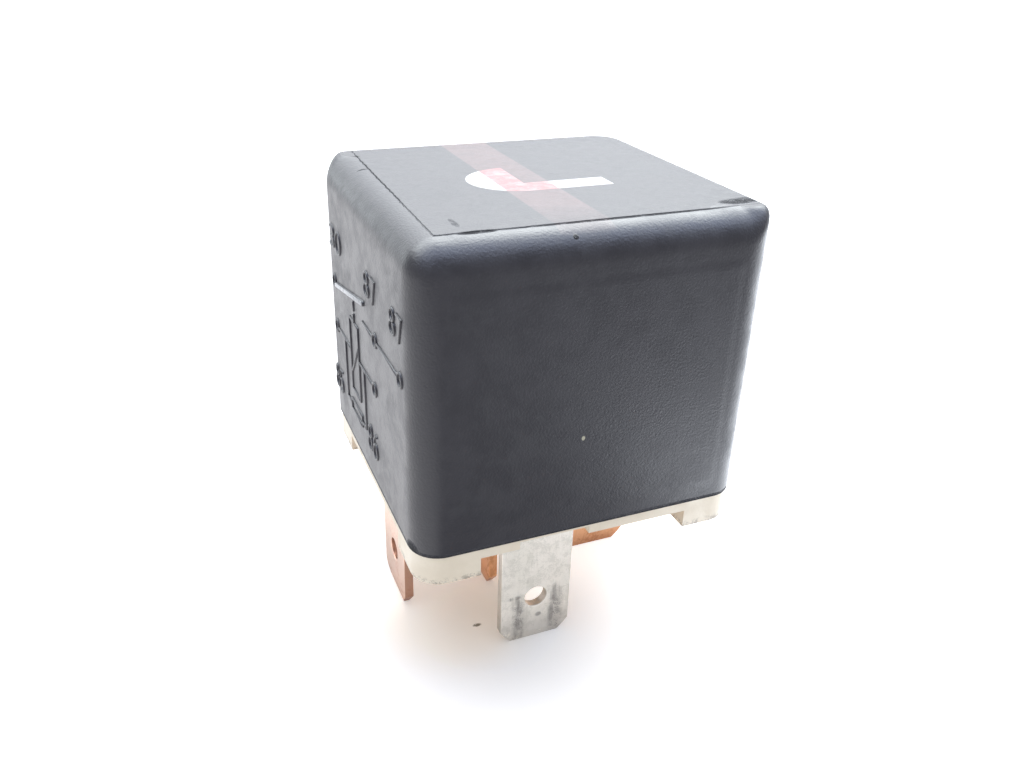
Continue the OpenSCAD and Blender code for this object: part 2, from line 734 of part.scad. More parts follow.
// each wire leaves along Y, turns and lies along its coil blade
module suppressor_leads() {
    end_x = coil_tab_x - blade_w / 2 + blade_t;
    color("#c4c4c2")
        for (s = [-1, 1])
            translate([res_x, 0, res_z]) {
                translate([0, s * res_l / 2, 0])
                    rotate([-s * 90, 0, 0])
                        translate([0, 0, weld_gap])
                            cylinder(r = res_wire_r, h = solder_y - res_l / 2 - weld_gap, $fn = round_fn);
                translate([0, s * solder_y, 0]) sphere(r = res_wire_r, $fn = round_fn);
                translate([0, s * solder_y, 0])
                    rotate([0, 90, 0]) cylinder(r = res_wire_r, h = end_x - res_x, $fn = round_fn);
            }
}

// iron plate: wide over the pole, a neck between the yoke's ears, a tail for the spring
module armature() {
    shoulder = pivot_x - yoke_t - ear_gap;
    color("#85888c")
        opened()
            translate([-pivot_x, 0, arm_gap])
                difference() {
                    union() {
                        translate([arm_left, -yoke_w / 2, 0]) cube([shoulder - arm_left, yoke_w, arm_t]);
                        translate([shoulder - eps, -neck_w / 2, 0])
                            cube([tail_x - shoulder + eps, neck_w, arm_t]);
                    }
                    for (x = rivet_places)
                        translate([x, 0, -eps])
                            cylinder(r = shank_r + rivet_gap, h = arm_t + 2 * eps, $fn = round_fn);
                    translate([hook_x, 0, -eps])
                        cylinder(r = 3 * spring_wire_r, h = arm_t + 2 * eps, $fn = round_fn);
                }
}

// leaf: full width on the armature, narrower and round at the contact
module contact_spring() {
    tip_r = contact_r + leaf_t;
    color("#c58a52")
        opened()
            translate([-pivot_x, 0, arm_gap + arm_t])
                difference() {
                    linear_extrude(leaf_t) {
                        translate([contact_x, 0]) circle(r = tip_r, $fn = round_fn);
                        polygon([
                            [contact_x, -tip_r], [arm_left, -leaf_w / 2], [leaf_right, -leaf_w / 2],
                            [leaf_right, leaf_w / 2], [arm_left, leaf_w / 2], [contact_x, tip_r]
                        ]);
                    }
                    for (x = concat(rivet_places, [contact_x]))
                        translate([x, 0, -eps])
                            cylinder(r = shank_r + rivet_gap, h = leaf_t + 2 * eps, $fn = round_fn);
                }
}

module spring_rivets() {
    color("#b9bbbe")
        opened()
            for (x = rivet_places)
                translate([x - pivot_x, 0, arm_gap]) rivet(shank_r, arm_t + leaf_t, 1.6 * shank_r);
}

// silver alloy contact: domed head under the leaf, closed head above it
module moving_contact() {
    color("#d9d9d6")
        opened()
            translate([contact_x - pivot_x, 0, arm_gap + arm_t]) {
                rivet(shank_r, leaf_t, 1.4 * shank_r);
                mirror([0, 0, 1]) rotate_extrude($fn = round_fn) contact_profile();
            }
}

module fixed_contact() {
    color("#d9d9d6")
        translate([contact_x, 0, ledge_z]) {
            mirror([0, 0, 1]) translate([0, 0, -blade_t]) rivet(shank_r, blade_t, 1.4 * shank_r);
            translate([0, 0, blade_t]) rotate_extrude($fn = round_fn) contact_profile();
        }
}

// bare copper braid from the yoke's back, outside the neck, over the ear, down to the leaf
module flex_braid() {
    y = neck_w / 2 + braid_r + ear_gap / 2;
    out_x = pivot_x + braid_r + weld_gap;
    far_x = out_x + braid_r;
    top_z = ceiling_z - 1.7 * braid_r;
    side_y = leaf_w / 2 - 2 * braid_r;
    near = leaf_right - 2 * braid_r;
    tip = leaf_right - 4 * braid_r;
    lift = braid_r + weld_gap;
    ctrl = [
        [out_x, y, pivot_z - 12 * braid_r], [out_x, y, pivot_z - 4 * braid_r],
        [out_x + braid_r / 2, y, pivot_z], [far_x, y, pivot_z + closed_stack],
        [out_x - braid_r / 2, y, top_z - braid_r / 2], [out_x - 3 * braid_r, y - braid_r / 2, top_z],
        [leaf_right, side_y, leaf_z(leaf_right) + lift + braid_r / 4],
        [near, side_y - braid_r / 2, leaf_z(near) + lift],
        [tip, side_y - braid_r / 2, leaf_z(tip) + lift]
    ];
    color("#b06a3a") wire(curve(ctrl, 3), braid_r, 8, [1, 0, 0]);
}

// points of a smooth curve through p, with n steps between neighbours
function curve(p, n) = concat(
    [for (i = [0:len(p) - 2], k = [0:n - 1])
        let (
            t = k / n,
            a = p[max(i - 1, 0)],
            b = p[i],
            c = p[i + 1],
            d = p[min(i + 2, len(p) - 1)]
        )
        0.5 * (2 * b + (c - a) * t + (2 * a - 5 * b + 4 * c - d) * t * t
            + (3 * b - a - 3 * c + d) * t * t * t)],
    [p[len(p) - 1]]
);

// close-wound tension spring, hooked under the lug and over the armature's tail
module return_spring() {
    seat = spring_wire_r + weld_gap;
    low = lug_z + lug_t + 4 * spring_wire_r;
    high = pivot_z - 4 * spring_wire_r;
    foot = lug_z - seat;
    drop = (hook_x - pivot_x) * tan(open_angle);
    top = pivot_z + (arm_gap + arm_t) / cos(open_angle) - drop + seat;
    steps = 10;
    coils = [for (i = [0:spring_turns * steps])
        let (a = 360 * i / steps, t = i / (spring_turns * steps))
        [hook_x + spring_r * cos(a), spring_r * sin(a), low + (high - low) * t]];
    path = concat(
        [[hook_x, hook_l, foot], [hook_x, 0, foot], [hook_x, 0, low - 3 * spring_wire_r]],
        coils,
        [[hook_x, 0, high + 3 * spring_wire_r], [hook_x, 0, top], [hook_x, -hook_l, top]]
    );
    color("#a8abae") wire(path, spring_wire_r, 6, [1, 0, 0]);
}

// plain strip in the place of a rest contact: foot in the base, tongue over the leaf
module backstop() {
    tongue_l = stop_y + stop_t + leaf_w / 4;
    color("#b9bbbe") {
        translate([stop_x - stop_w / 2, stop_y, floor_z - stop_foot])
            cube([stop_w, stop_t, stop_z - floor_z + stop_foot + eps]);
        translate([stop_x - stop_w / 2, stop_y + stop_t - tongue_l, stop_z])
            cube([stop_w, tongue_l, stop_t]);
    }
}

cover();
base();
terminal_30();
terminal_85();
terminal_86();
terminal_87();
terminal_87_centre();
yoke();
core();
yoke_rivet();
bobbin();
winding();
lead_start();
lead_finish();
suppressor();
suppressor_leads();
armature();
contact_spring();
spring_rivets();
moving_contact();
fixed_contact();
flex_braid();
return_spring();
backstop();
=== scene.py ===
import math

import bmesh
import bpy
import numpy as np
from mathutils import Matrix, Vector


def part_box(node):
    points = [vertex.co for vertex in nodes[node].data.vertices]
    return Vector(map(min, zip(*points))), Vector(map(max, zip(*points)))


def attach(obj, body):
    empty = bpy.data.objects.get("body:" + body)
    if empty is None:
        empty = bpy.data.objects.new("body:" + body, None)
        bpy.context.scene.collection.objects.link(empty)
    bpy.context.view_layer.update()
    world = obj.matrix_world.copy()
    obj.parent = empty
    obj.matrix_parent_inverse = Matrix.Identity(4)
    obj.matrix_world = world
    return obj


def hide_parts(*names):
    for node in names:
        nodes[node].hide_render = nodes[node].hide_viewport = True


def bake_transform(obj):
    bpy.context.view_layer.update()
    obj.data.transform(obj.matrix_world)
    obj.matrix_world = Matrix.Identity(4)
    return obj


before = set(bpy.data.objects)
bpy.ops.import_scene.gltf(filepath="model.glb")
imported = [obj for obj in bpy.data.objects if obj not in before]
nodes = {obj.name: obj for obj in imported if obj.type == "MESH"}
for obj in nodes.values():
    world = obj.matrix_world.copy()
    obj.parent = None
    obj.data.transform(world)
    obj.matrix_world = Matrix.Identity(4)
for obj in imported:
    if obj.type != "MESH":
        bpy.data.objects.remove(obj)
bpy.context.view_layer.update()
MM = 0.001

# ---------------------------------------------------------------------------
# Viewpoint. The relay stands on its blades, seen from its front left corner
# and from above, close enough for the upright edges to lean together.

CAMERA_PLACE = (-28.375, -63.564, 55.049)
CAMERA_AZIMUTH = -23.199
CAMERA_ELEVATION = 27.356
CAMERA_ROLL = 1.784
CAMERA_LENS = 31.40

camera_data = bpy.data.cameras.new("viewpoint")
camera_data.sensor_width = 36.0
camera_data.lens = CAMERA_LENS
camera_data.clip_start = 0.002
camera_data.clip_end = 20.0
camera = bpy.data.objects.new("viewpoint", camera_data)
bpy.context.scene.collection.objects.link(camera)
bpy.context.scene.camera = camera

azimuth, elevation, roll = (math.radians(a) for a in (CAMERA_AZIMUTH, CAMERA_ELEVATION, CAMERA_ROLL))
back = np.array([math.sin(azimuth) * math.cos(elevation),
                 -math.cos(azimuth) * math.cos(elevation), math.sin(elevation)])
level = np.array([math.cos(azimuth), math.sin(azimuth), 0.0])
upright = np.cross(back, level)
right = math.cos(roll) * level + math.sin(roll) * upright
upwards = -math.sin(roll) * level + math.cos(roll) * upright
placed = np.eye(4)
placed[:3, 0], placed[:3, 1], placed[:3, 2] = right, upwards, back
placed[:3, 3] = np.array(CAMERA_PLACE) * MM
camera.matrix_world = Matrix(placed.tolist())

# ---------------------------------------------------------------------------
# Light. A plain white surround, one broad soft lamp above and behind, and
# reflecting cards that show only in the gloss of dark plastic and metal.

AIR = (0.92, 0.94, 1.0, 1.0)
AIR_STRENGTH = 0.98
WHITE = (1.0, 1.0, 1.0, 1.0)
SKY_LEFT, SKY_RIGHT = -300, 500
SKY_Z = 300
TABLE_Z = 0.4

scene = bpy.context.scene
scene.view_settings.view_transform = "Standard"
world = bpy.data.worlds.new("surround")
scene.world = world
world.use_nodes = True
air = world.node_tree
air.nodes.clear()
air_out = air.nodes.new("ShaderNodeOutputWorld")
air_light = air.nodes.new("ShaderNodeBackground")
air_seen = air.nodes.new("ShaderNodeBackground")
air_mix = air.nodes.new("ShaderNodeMixShader")
air_path = air.nodes.new("ShaderNodeLightPath")
air_light.inputs["Color"].default_value = AIR
air_light.inputs["Strength"].default_value = AIR_STRENGTH
air_seen.inputs["Color"].default_value = WHITE
air_seen.inputs["Strength"].default_value = 1.0
air.links.new(air_path.outputs["Is Camera Ray"], air_mix.inputs["Fac"])
air.links.new(air_light.outputs[0], air_mix.inputs[1])
air.links.new(air_seen.outputs[0], air_mix.inputs[2])
air.links.new(air_mix.outputs[0], air_out.inputs["Surface"])


def lamp(name, place, target, size, power, colour=WHITE[:3], only_gloss=False):
    """A soft oblong lamp at place, turned so that its face looks at target (both in millimetres)."""
    data = bpy.data.lights.new(name, "AREA")
    data.color = colour
    data.shape = "RECTANGLE"
    data.size, data.size_y = size[0] * MM, size[1] * MM
    data.energy = power
    made = bpy.data.objects.new(name, data)
    scene.collection.objects.link(made)
    away = np.array(place, float) - np.array(target, float)
    away /= np.linalg.norm(away)
    side = np.cross([0.0, 0.0, 1.0], away) if abs(away[2]) < 0.999 else np.array([1.0, 0.0, 0.0])
    side /= np.linalg.norm(side)
    turned = np.eye(4)
    turned[:3, 0], turned[:3, 1], turned[:3, 2] = side, np.cross(away, side), away
    turned[:3, 3] = np.array(place, float) * MM
    made.matrix_world = Matrix(turned.tolist())
    made.visible_camera = False
    made.visible_diffuse = not only_gloss
    return made


lamp("soft_lamp", (120, 260, 330), (0, 0, 20), (260, 260), 0.55)


def gloss_card(name, low, high, height, radiance, colour=WHITE[:3]):
    """A level card between two corners in plan, which shows in gloss only.
    It faces down from above, or up from the table."""
    size = (high[0] - low[0], high[1] - low[1])
    middle = ((low[0] + high[0]) / 2, (low[1] + high[1]) / 2)
    power = radiance * math.pi * size[0] * size[1] * MM * MM
    lamp(name, (*middle, height), (*middle, 20), size, power, colour, only_gloss=True)


gloss_card("sky_back", (SKY_LEFT, 330), (SKY_RIGHT, 900), SKY_Z, 2.9, (0.90, 0.94, 1.0))
gloss_card("sky_middle", (SKY_LEFT, 45), (SKY_RIGHT, 330), SKY_Z, 12.3, (0.92, 0.98, 1.0))
gloss_card("sky_front", (SKY_LEFT, -165), (SKY_RIGHT, 45), SKY_Z, 5.3, (0.62, 0.73, 1.0))
gloss_card("table_left", (-250, -60), (-17, 220), TABLE_Z, 1.5)
gloss_card("table_right", (17, -42), (250, 220), TABLE_Z, 5.2, (0.89, 0.94, 1.0))
gloss_card("table_front", (-250, -300), (250, -60), TABLE_Z, 0.28)
lamp("low_card", (-225, 465, 75), (0, 0, 30), (380, 130), 0.46, (0.90, 0.97, 1.0), only_gloss=True)

# ---------------------------------------------------------------------------
# Table. A sheet of white card that runs far past the relay, so that only the
# soft shadow between and before the blades shows where it lies. That shadow is
# partly cast and partly painted: the card's glow for the camera is dimmed near the relay.

FLOOR_HALF = 4.0
CARD_WHITE = (0.88, 0.885, 0.90)
CARD_FIBRE = (0.86, 0.865, 0.875)
# painted warm bounce light where copper and cream plastic would throw a warm light on the card, and painted
# light in the gap behind the front blade
PAINTED_WARM_BOUNCE = (0.89, 0.845, 0.775)
WARM_MIDDLE, WARM_REACH = (-8.0, -4.5, 0.0), (9.5, 9.5, 9.5)
PAINTED_GAP_LIGHT_MIDDLE, PAINTED_GAP_LIGHT_REACH = (-0.4, -5.8, 0.0), (2.4, 2.4, 2.4)
# a crumb of dirt beside the left blade
CRUMB = (0.17, 0.14, 0.09)
CRUMB_MIDDLE, CRUMB_REACH = (-6.95, -7.42, 0.0), (0.48, 0.24, 1.0)
# painted shadow: the card's glow for the camera turns it white from the shade's middle outwards, between
# these distances
SHADE_MIDDLE = (-5.5, -8.5, 0.0)
SHADE_NEAR, SHADE_FAR = 2, 17

floor_mesh = bpy.data.meshes.new("table")
floor_mesh.from_pydata([(-FLOOR_HALF, -FLOOR_HALF, 0), (FLOOR_HALF, -FLOOR_HALF, 0),
                        (FLOOR_HALF, FLOOR_HALF, 0), (-FLOOR_HALF, FLOOR_HALF, 0)], [], [(0, 1, 2, 3)])
floor = bpy.data.objects.new("table", floor_mesh)
scene.collection.objects.link(floor)


def effect(name, inputs, outputs, wire):
    """A shader node group: inputs are (name, kind, value), outputs are (name, kind), and wire fills it."""
    made = bpy.data.node_groups.new(name, "ShaderNodeTree")
    for label, kind, value in inputs:
        socket = made.interface.new_socket(label, in_out="INPUT", socket_type=kind)
        socket.default_value = value
    for label, kind in outputs:
        made.interface.new_socket(label, in_out="OUTPUT", socket_type=kind)
    wire(Wiring(made))
    return made


class Wiring:
    """Short calls for making and joining the nodes of one tree."""

    def __init__(self, tree):
        self.tree = tree
        self.gate_in = None
        self.gate_out = None

    def given(self, label):
        """An input of the group that is being wired."""
        if self.gate_in is None:
            self.gate_in = self.tree.nodes.new("NodeGroupInput")
        return self.gate_in.outputs[label]

    def give(self, label, value):
        """Joins a value to an output of the group that is being wired."""
        if self.gate_out is None:
            self.gate_out = self.tree.nodes.new("NodeGroupOutput")
        self.tree.links.new(value, self.gate_out.inputs[label])

    def feed(self, socket, value):
        """Joins a node's output to the socket, or sets a plain number or colour on it."""
        if isinstance(value, bpy.types.NodeSocket):
            self.tree.links.new(value, socket)
        elif isinstance(value, tuple) and len(value) == 3 and socket.type == "RGBA":
            socket.default_value = (*value, 1.0)
        else:
            socket.default_value = value

    def math(self, operation, a, b=0.0, c=0.0, clamp=False):
        """Any of the Math node's operations on up to three values."""
        node = self.tree.nodes.new("ShaderNodeMath")
        node.operation = operation
        node.use_clamp = clamp
        for socket, value in zip(node.inputs, (a, b, c)):
            self.feed(socket, value)
        return node.outputs[0]

    def noise(self, where, scale, detail=3.0, rough=0.55, twist=0.0):
        node = self.tree.nodes.new("ShaderNodeTexNoise")
        self.feed(node.inputs["Vector"], where)
        self.feed(node.inputs["Scale"], scale)
        node.inputs["Detail"].default_value = detail
        node.inputs["Roughness"].default_value = rough
        node.inputs["Distortion"].default_value = twist
        return node.outputs["Fac"]

    def ramp(self, value, low, high, to_low=0.0, to_high=1.0):
        """A smooth step from to_low at low to to_high at high."""
        node = self.tree.nodes.new("ShaderNodeMapRange")
        node.interpolation_type = "SMOOTHSTEP"
        for label, item in (("Value", value), ("From Min", low), ("From Max", high),
                            ("To Min", to_low), ("To Max", to_high)):
            self.feed(node.inputs[label], item)
        return node.outputs["Result"]

    def blend(self, amount, a, b):
        """Colour a where the amount is 0, colour b where it is 1."""
        node = self.tree.nodes.new("ShaderNodeMix")
        node.data_type = "RGBA"
        self.feed(node.inputs[0], amount)
        self.feed(node.inputs[6], a)
        self.feed(node.inputs[7], b)
        return node.outputs[2]

    def place(self):
        return self.tree.nodes.new("ShaderNodeTexCoord").outputs["Object"]

    def kept(self, name):
        """A value that the mesh carries under the name."""
        node = self.tree.nodes.new("ShaderNodeAttribute")
        node.attribute_name = name
        return node.outputs["Fac"]

    def near(self, where, middle, reach):
        """1 at the middle, falling to 0 over the outer half of an ellipsoid (in millimetres)."""
        away = self.tree.nodes.new("ShaderNodeVectorMath")
        away.operation = "SUBTRACT"
        self.feed(away.inputs[0], where)
        away.inputs[1].default_value = tuple(c * MM for c in middle)
        shared = self.tree.nodes.new("ShaderNodeVectorMath")
        shared.operation = "DIVIDE"
        self.feed(shared.inputs[0], away.outputs[0])
        shared.inputs[1].default_value = tuple(c * MM for c in reach)
        length = self.tree.nodes.new("ShaderNodeVectorMath")
        length.operation = "LENGTH"
        self.feed(length.inputs[0], shared.outputs[0])
        return self.ramp(length.outputs["Value"], 1.0, 0.5)

    def split(self, where):
        node = self.tree.nodes.new("ShaderNodeSeparateXYZ")
        self.feed(node.inputs[0], where)
        return node.outputs

    def stretched(self, where, scale):
        """The place with each axis multiplied by its share of scale: a small share draws a pattern out."""
        node = self.tree.nodes.new("ShaderNodeMapping")
        self.feed(node.inputs["Vector"], where)
        node.inputs["Scale"].default_value = scale
        return node.outputs[0]

    def bump(self, height, depth, strength):
        node = self.tree.nodes.new("ShaderNodeBump")
        node.inputs["Strength"].default_value = strength
        node.inputs["Distance"].default_value = depth
        self.feed(node.inputs["Height"], height)
        return node.outputs[0]

    def use(self, made, **values):
        """Places a node group with the given values, and gives its outputs."""
        node = self.tree.nodes.new("ShaderNodeGroup")
        node.node_tree = made
        for label, value in values.items():
            self.feed(node.inputs[label], value)
        return node.outputs


card = bpy.data.materials.new("white_card")
card.use_nodes = True
card.node_tree.nodes.clear()
w = Wiring(card.node_tree)
where = w.place()
card_out = w.tree.nodes.new("ShaderNodeOutputMaterial")
card_matte = w.tree.nodes.new("ShaderNodeBsdfDiffuse")
card_glow = w.tree.nodes.new("ShaderNodeEmission")
card_sum = w.tree.nodes.new("ShaderNodeAddShader")
card_path = w.tree.nodes.new("ShaderNodeLightPath")
fibre = w.ramp(w.noise(where, 2400.0, 4.0, 0.6), 0.3, 0.7, 0.0, 0.3)
plain = w.blend(fibre, CARD_WHITE, CARD_FIBRE)
# painted warm bounce light: the card's colour turns warm under the relay
shade = w.blend(w.near(where, WARM_MIDDLE, WARM_REACH), plain, PAINTED_WARM_BOUNCE)
crumb = w.near(where, CRUMB_MIDDLE, CRUMB_REACH)
crumb = w.math("MULTIPLY", crumb, w.ramp(w.noise(where, 2600.0), 0.35, 0.5))
w.feed(card_matte.inputs["Color"], w.blend(crumb, shade, CRUMB))
card_far = w.tree.nodes.new("ShaderNodeVectorMath")
card_far.operation = "DISTANCE"
card_far.inputs[1].default_value = tuple(c * MM for c in SHADE_MIDDLE)
w.feed(card_far.inputs[0], where)
# painted shadow: the camera sees the card dimmed near the relay and white further out
painted_shadow_and_light = w.ramp(card_far.outputs["Value"], SHADE_NEAR * MM, SHADE_FAR * MM, 0.05, 0.6)
# painted light: the card glows brighter for the camera in the gap behind the front blade
painted_shadow_and_light = w.math("MULTIPLY_ADD", w.near(where, PAINTED_GAP_LIGHT_MIDDLE, PAINTED_GAP_LIGHT_REACH), 0.35, painted_shadow_and_light)
seen = w.math("MULTIPLY", card_path.outputs["Is Camera Ray"], painted_shadow_and_light)
w.feed(card_glow.inputs["Strength"], w.math("MULTIPLY_ADD", card_path.outputs["Is Glossy Ray"], 0.1, seen))
w.feed(card_sum.inputs[0], card_matte.outputs[0])
w.feed(card_sum.inputs[1], card_glow.outputs[0])
w.feed(card_out.inputs["Surface"], card_sum.outputs[0])
floor_mesh.materials.append(card)

# ---------------------------------------------------------------------------
# Base. One cream moulding: a flange under the cover's rim, a plug inside it
# and four corner feet, with dirt caught along its lower edges.

CREAM = (0.795, 0.71, 0.565)
CREAM_SHADE = (0.68, 0.585, 0.44)
CREAM_DIRT = (0.42, 0.37, 0.29)
EDGE_DIRT = (0.16, 0.13, 0.10)
CLEAN_ABOVE, DIRTY_BELOW = 11.4, 10.6
BASE_SOFT = 0.14


def wire_grain(w):
    """Height of a fine grain over a broad one, and the broad one alone as a tone."""
    where = w.place()
    fine = w.noise(where, w.given("Scale"), 2.0, 0.5)
    broad = w.noise(where, w.math("MULTIPLY", w.given("Scale"), 0.09), 4.0, 0.6)
    w.give("Height", w.math("MULTIPLY_ADD", broad, 0.6, fine))
    w.give("Tone", w.ramp(broad, 0.32, 0.68))


grain = effect("moulded_grain", [("Scale", "NodeSocketFloat", 5000.0)],
               [("Height", "NodeSocketFloat"), ("Tone", "NodeSocketFloat")], wire_grain)


def wire_grime(w):
    """Patches of dirt with gritty borders: more of the surface is covered as the amount rises."""
    where = w.place()
    cloud = w.noise(where, w.given("Scale"), 6.0, 0.68, 0.4)
    grit = w.noise(where, w.math("MULTIPLY", w.given("Scale"), 7.0), 3.0, 0.6)
    both = w.math("MULTIPLY_ADD", grit, 0.35, w.math("MULTIPLY", cloud, 0.65))
    edge = w.math("SUBTRACT", 0.72, w.math("MULTIPLY", w.given("Amount"), 0.4))
    w.give("Mask", w.ramp(both, edge, w.math("ADD", edge, 0.1)))


grime = effect("grime", [("Scale", "NodeSocketFloat", 400.0), ("Amount", "NodeSocketFloat", 0.4)],
               [("Mask", "NodeSocketFloat")], wire_grime)


def wire_scuffs(w):
    """Upright streaks, kept to broad patches."""
    where = w.stretched(w.place(), (1.0, 1.0, 0.08))
    streak = w.noise(where, w.given("Scale"), 4.0, 0.6, 0.2)
    patch = w.noise(w.place(), w.math("MULTIPLY", w.given("Scale"), 0.16), 2.0)
    w.give("Mask", w.math("MULTIPLY", w.ramp(streak, 0.52, 0.66), w.ramp(patch, 0.42, 0.62), clamp=True))


scuffs = effect("scuffs", [("Scale", "NodeSocketFloat", 2500.0)],
                [("Mask", "NodeSocketFloat")], wire_scuffs)


def finish_of(name, metallic=0.0, ior=1.5):
    """A material with one Principled shader, its plain values set on the shader's own sockets."""
    made = bpy.data.materials.new(name)
    made.use_nodes = True
    w = Wiring(made.node_tree)
    shader = made.node_tree.nodes["Principled BSDF"]
    shader.inputs["Metallic"].default_value = metallic
    shader.inputs["IOR"].default_value = ior
    return made, w, shader.inputs


cream_plastic, w, face = finish_of("cream_plastic", ior=1.52)
g = w.use(grain, Scale=4200.0)
dirt = w.use(grime, Scale=520.0, Amount=0.25)["Mask"]
low_edge = w.ramp(w.split(w.place())[2], CLEAN_ABOVE * MM, DIRTY_BELOW * MM)
dirt_low = w.math("MULTIPLY", w.use(grime, Scale=1300.0, Amount=0.62)["Mask"], low_edge)
tone = w.blend(w.ramp(g["Tone"], 0.0, 1.0, 0.0, 0.35), CREAM, CREAM_SHADE)
tone = w.blend(w.math("MULTIPLY", dirt, 0.22), tone, CREAM_DIRT)
w.feed(face["Base Color"], w.blend(w.math("MULTIPLY", dirt_low, 0.75), tone, EDGE_DIRT))
w.feed(face["Roughness"], w.ramp(g["Tone"], 0.0, 1.0, 0.42, 0.58))
w.feed(face["Normal"], w.bump(g["Height"], 0.00003, 0.5))


def mark_sheared(mesh):
    """Stores 1 on each face that stands square to the mesh's broad flats, and 0 on the flats.
    Broad is the axis that the most area faces."""
    normals = np.array([face.normal[:] for face in mesh.polygons])
    areas = np.array([face.area for face in mesh.polygons])
    broad = np.argmax((np.abs(normals) * areas[:, None]).sum(0))
    kept = mesh.attributes.new("sheared", "FLOAT", "FACE")
    kept.data.foreach_set("value", (np.abs(normals[:, broad]) < 0.5).astype(np.float32))


def softened(node, width, segments=2):
    """A merged copy of a CAD node, with its flat faces joined up and its edges rounded.
    The rounding is as wide as given in millimetres, and takes edges that turn by more than 35 degrees."""
    mesh = nodes[node].data.copy()
    mesh.name = node + "_soft"
    work = bmesh.new()
    work.from_mesh(mesh)
    bmesh.ops.remove_doubles(work, verts=work.verts, dist=2e-6)
    bmesh.ops.dissolve_limit(work, angle_limit=math.radians(1.0), verts=work.verts, edges=work.edges)
    work.to_mesh(mesh)
    work.free()
    made = bpy.data.objects.new(node + "_soft", mesh)
    scene.collection.objects.link(made)
    mesh.materials.clear()
    mark_sheared(mesh)
    round_over = made.modifiers.new("soft edges", "BEVEL")
    round_over.width = width * MM
    round_over.segments = segments
    round_over.limit_method = "ANGLE"
    round_over.angle_limit = math.radians(35.0)
    round_over.use_clamp_overlap = True
    round_over.harden_normals = False
    mesh.shade_smooth()
    mesh.set_sharp_from_angle(angle=math.radians(30))
    return made


def settle(piece, body, node, material):
    """The piece gets its material, rides on its body and stands for its node."""
    piece.data.materials.clear()
    piece.data.materials.append(material)
    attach(piece, body)
    if node:
        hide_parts(node)


settle(softened("base", BASE_SOFT, segments=3), "relay", "base", cream_plastic)

# ---------------------------------------------------------------------------
# Coil blades, front and back. Stamped brass, dull tin plated, rubbed dark in
# upright bands where a socket's springs have gripped them.

TIN = (0.87, 0.825, 0.745)
TIN_SHADE = (0.74, 0.71, 0.63)
TIN_MOTTLE = (0.52, 0.50, 0.43)
TIN_SCUFF = (0.40, 0.38, 0.36)
TIN_TIP = (0.33, 0.31, 0.29)
TIN_SHEARED = (0.36, 0.33, 0.29)
TIN_RUBBED = (0.17, 0.155, 0.15)
# a rubbed band: its middle along X, then how far from it the rubbing ends and is full
RUB_BANDS = ((-4.35, 0.75, 0.15), (-0.9, 0.9, 0.2))
RUB_NONE_Z, RUB_FULL_Z = 5.6, 3.2
# a stain: its middle along X and Z, and its reach along both; it goes right through the blade's thickness
STAINS = (((-4.5, 3.7), (0.7, 1.4)), ((-4.7, 4.7), (0.9, 0.3)), ((-0.95, 4.2), (0.75, 1.5)),
          ((-1.3, 2.2), (0.45, 1.6)), ((-4.4, 1.2), (0.5, 1.6)), ((-2.5, 2.4), (0.4, 0.3)))
STAIN_THROUGH = 40
BLADE_SOFT = 0.07

tin_plate, w, face = finish_of("dull_tin", metallic=0.85)
where = w.place()
x, _, z = w.split(where)
g = w.use(grain, Scale=3000.0)
left_rub, right_rub = (w.ramp(w.math("ABSOLUTE", w.math("SUBTRACT", x, middle * MM)), none * MM, full * MM)
                       for middle, none, full in RUB_BANDS)
rub = w.math("MULTIPLY", w.math("MAXIMUM", left_rub, right_rub), w.ramp(z, RUB_NONE_Z * MM, RUB_FULL_Z * MM))
speckle = w.use(grime, Scale=1500.0, Amount=0.62)["Mask"]
rub = w.math("MULTIPLY", rub, w.math("MULTIPLY_ADD", speckle, 0.6, 0.25), clamp=True)
drips = w.ramp(w.noise(w.stretched(where, (1.0, 1.0, 0.12)), 2200.0, 3.0), 0.35, 0.6)
stained = w.math("MULTIPLY_ADD", drips, 0.55, w.math("MULTIPLY_ADD", speckle, 0.2, 0.15))
for (spot_x, spot_z), (wide, tall) in STAINS:
    spot = w.near(where, (spot_x, 0, spot_z), (wide, STAIN_THROUGH, tall))
    rub = w.math("MAXIMUM", rub, w.math("MULTIPLY", spot, stained))
tip = w.math("MULTIPLY", w.ramp(z, 4.0 * MM, 0.4 * MM), w.use(grime, Scale=650.0, Amount=0.9)["Mask"])
streaks = w.use(scuffs, Scale=2600.0)["Mask"]
mottle = w.use(grime, Scale=1100.0, Amount=0.62)["Mask"]
tone = w.blend(w.ramp(g["Tone"], 0.0, 1.0, 0.0, 0.5), TIN, TIN_SHADE)
tone = w.blend(w.math("MULTIPLY", mottle, 0.35), tone, TIN_MOTTLE)
tone = w.blend(w.math("MULTIPLY", streaks, 0.12), tone, TIN_SCUFF)
tone = w.blend(w.math("MULTIPLY", tip, 0.5), tone, TIN_TIP)
tone = w.blend(w.math("MULTIPLY", w.kept("sheared"), 0.6), tone, TIN_SHEARED)
w.feed(face["Base Color"], w.blend(w.math("MULTIPLY", rub, 0.85), tone, TIN_RUBBED))
w.feed(face["Roughness"], w.ramp(w.math("ADD", g["Tone"], streaks), 0.0, 2.0, 0.42, 0.62))
w.feed(face["Normal"], w.bump(w.math("MULTIPLY_ADD", rub, 1.5, g["Height"]), 0.00004, 0.6))

for node in ("terminal_85", "terminal_86"):
    settle(softened(node, BLADE_SOFT), "relay", node, tin_plate)

# ---------------------------------------------------------------------------
# Load blades. Stamped copper alloy left bare, darkened to brown along the
# sheared edges. The left one is painted paler, a painted glare, with darker tarnish patches.

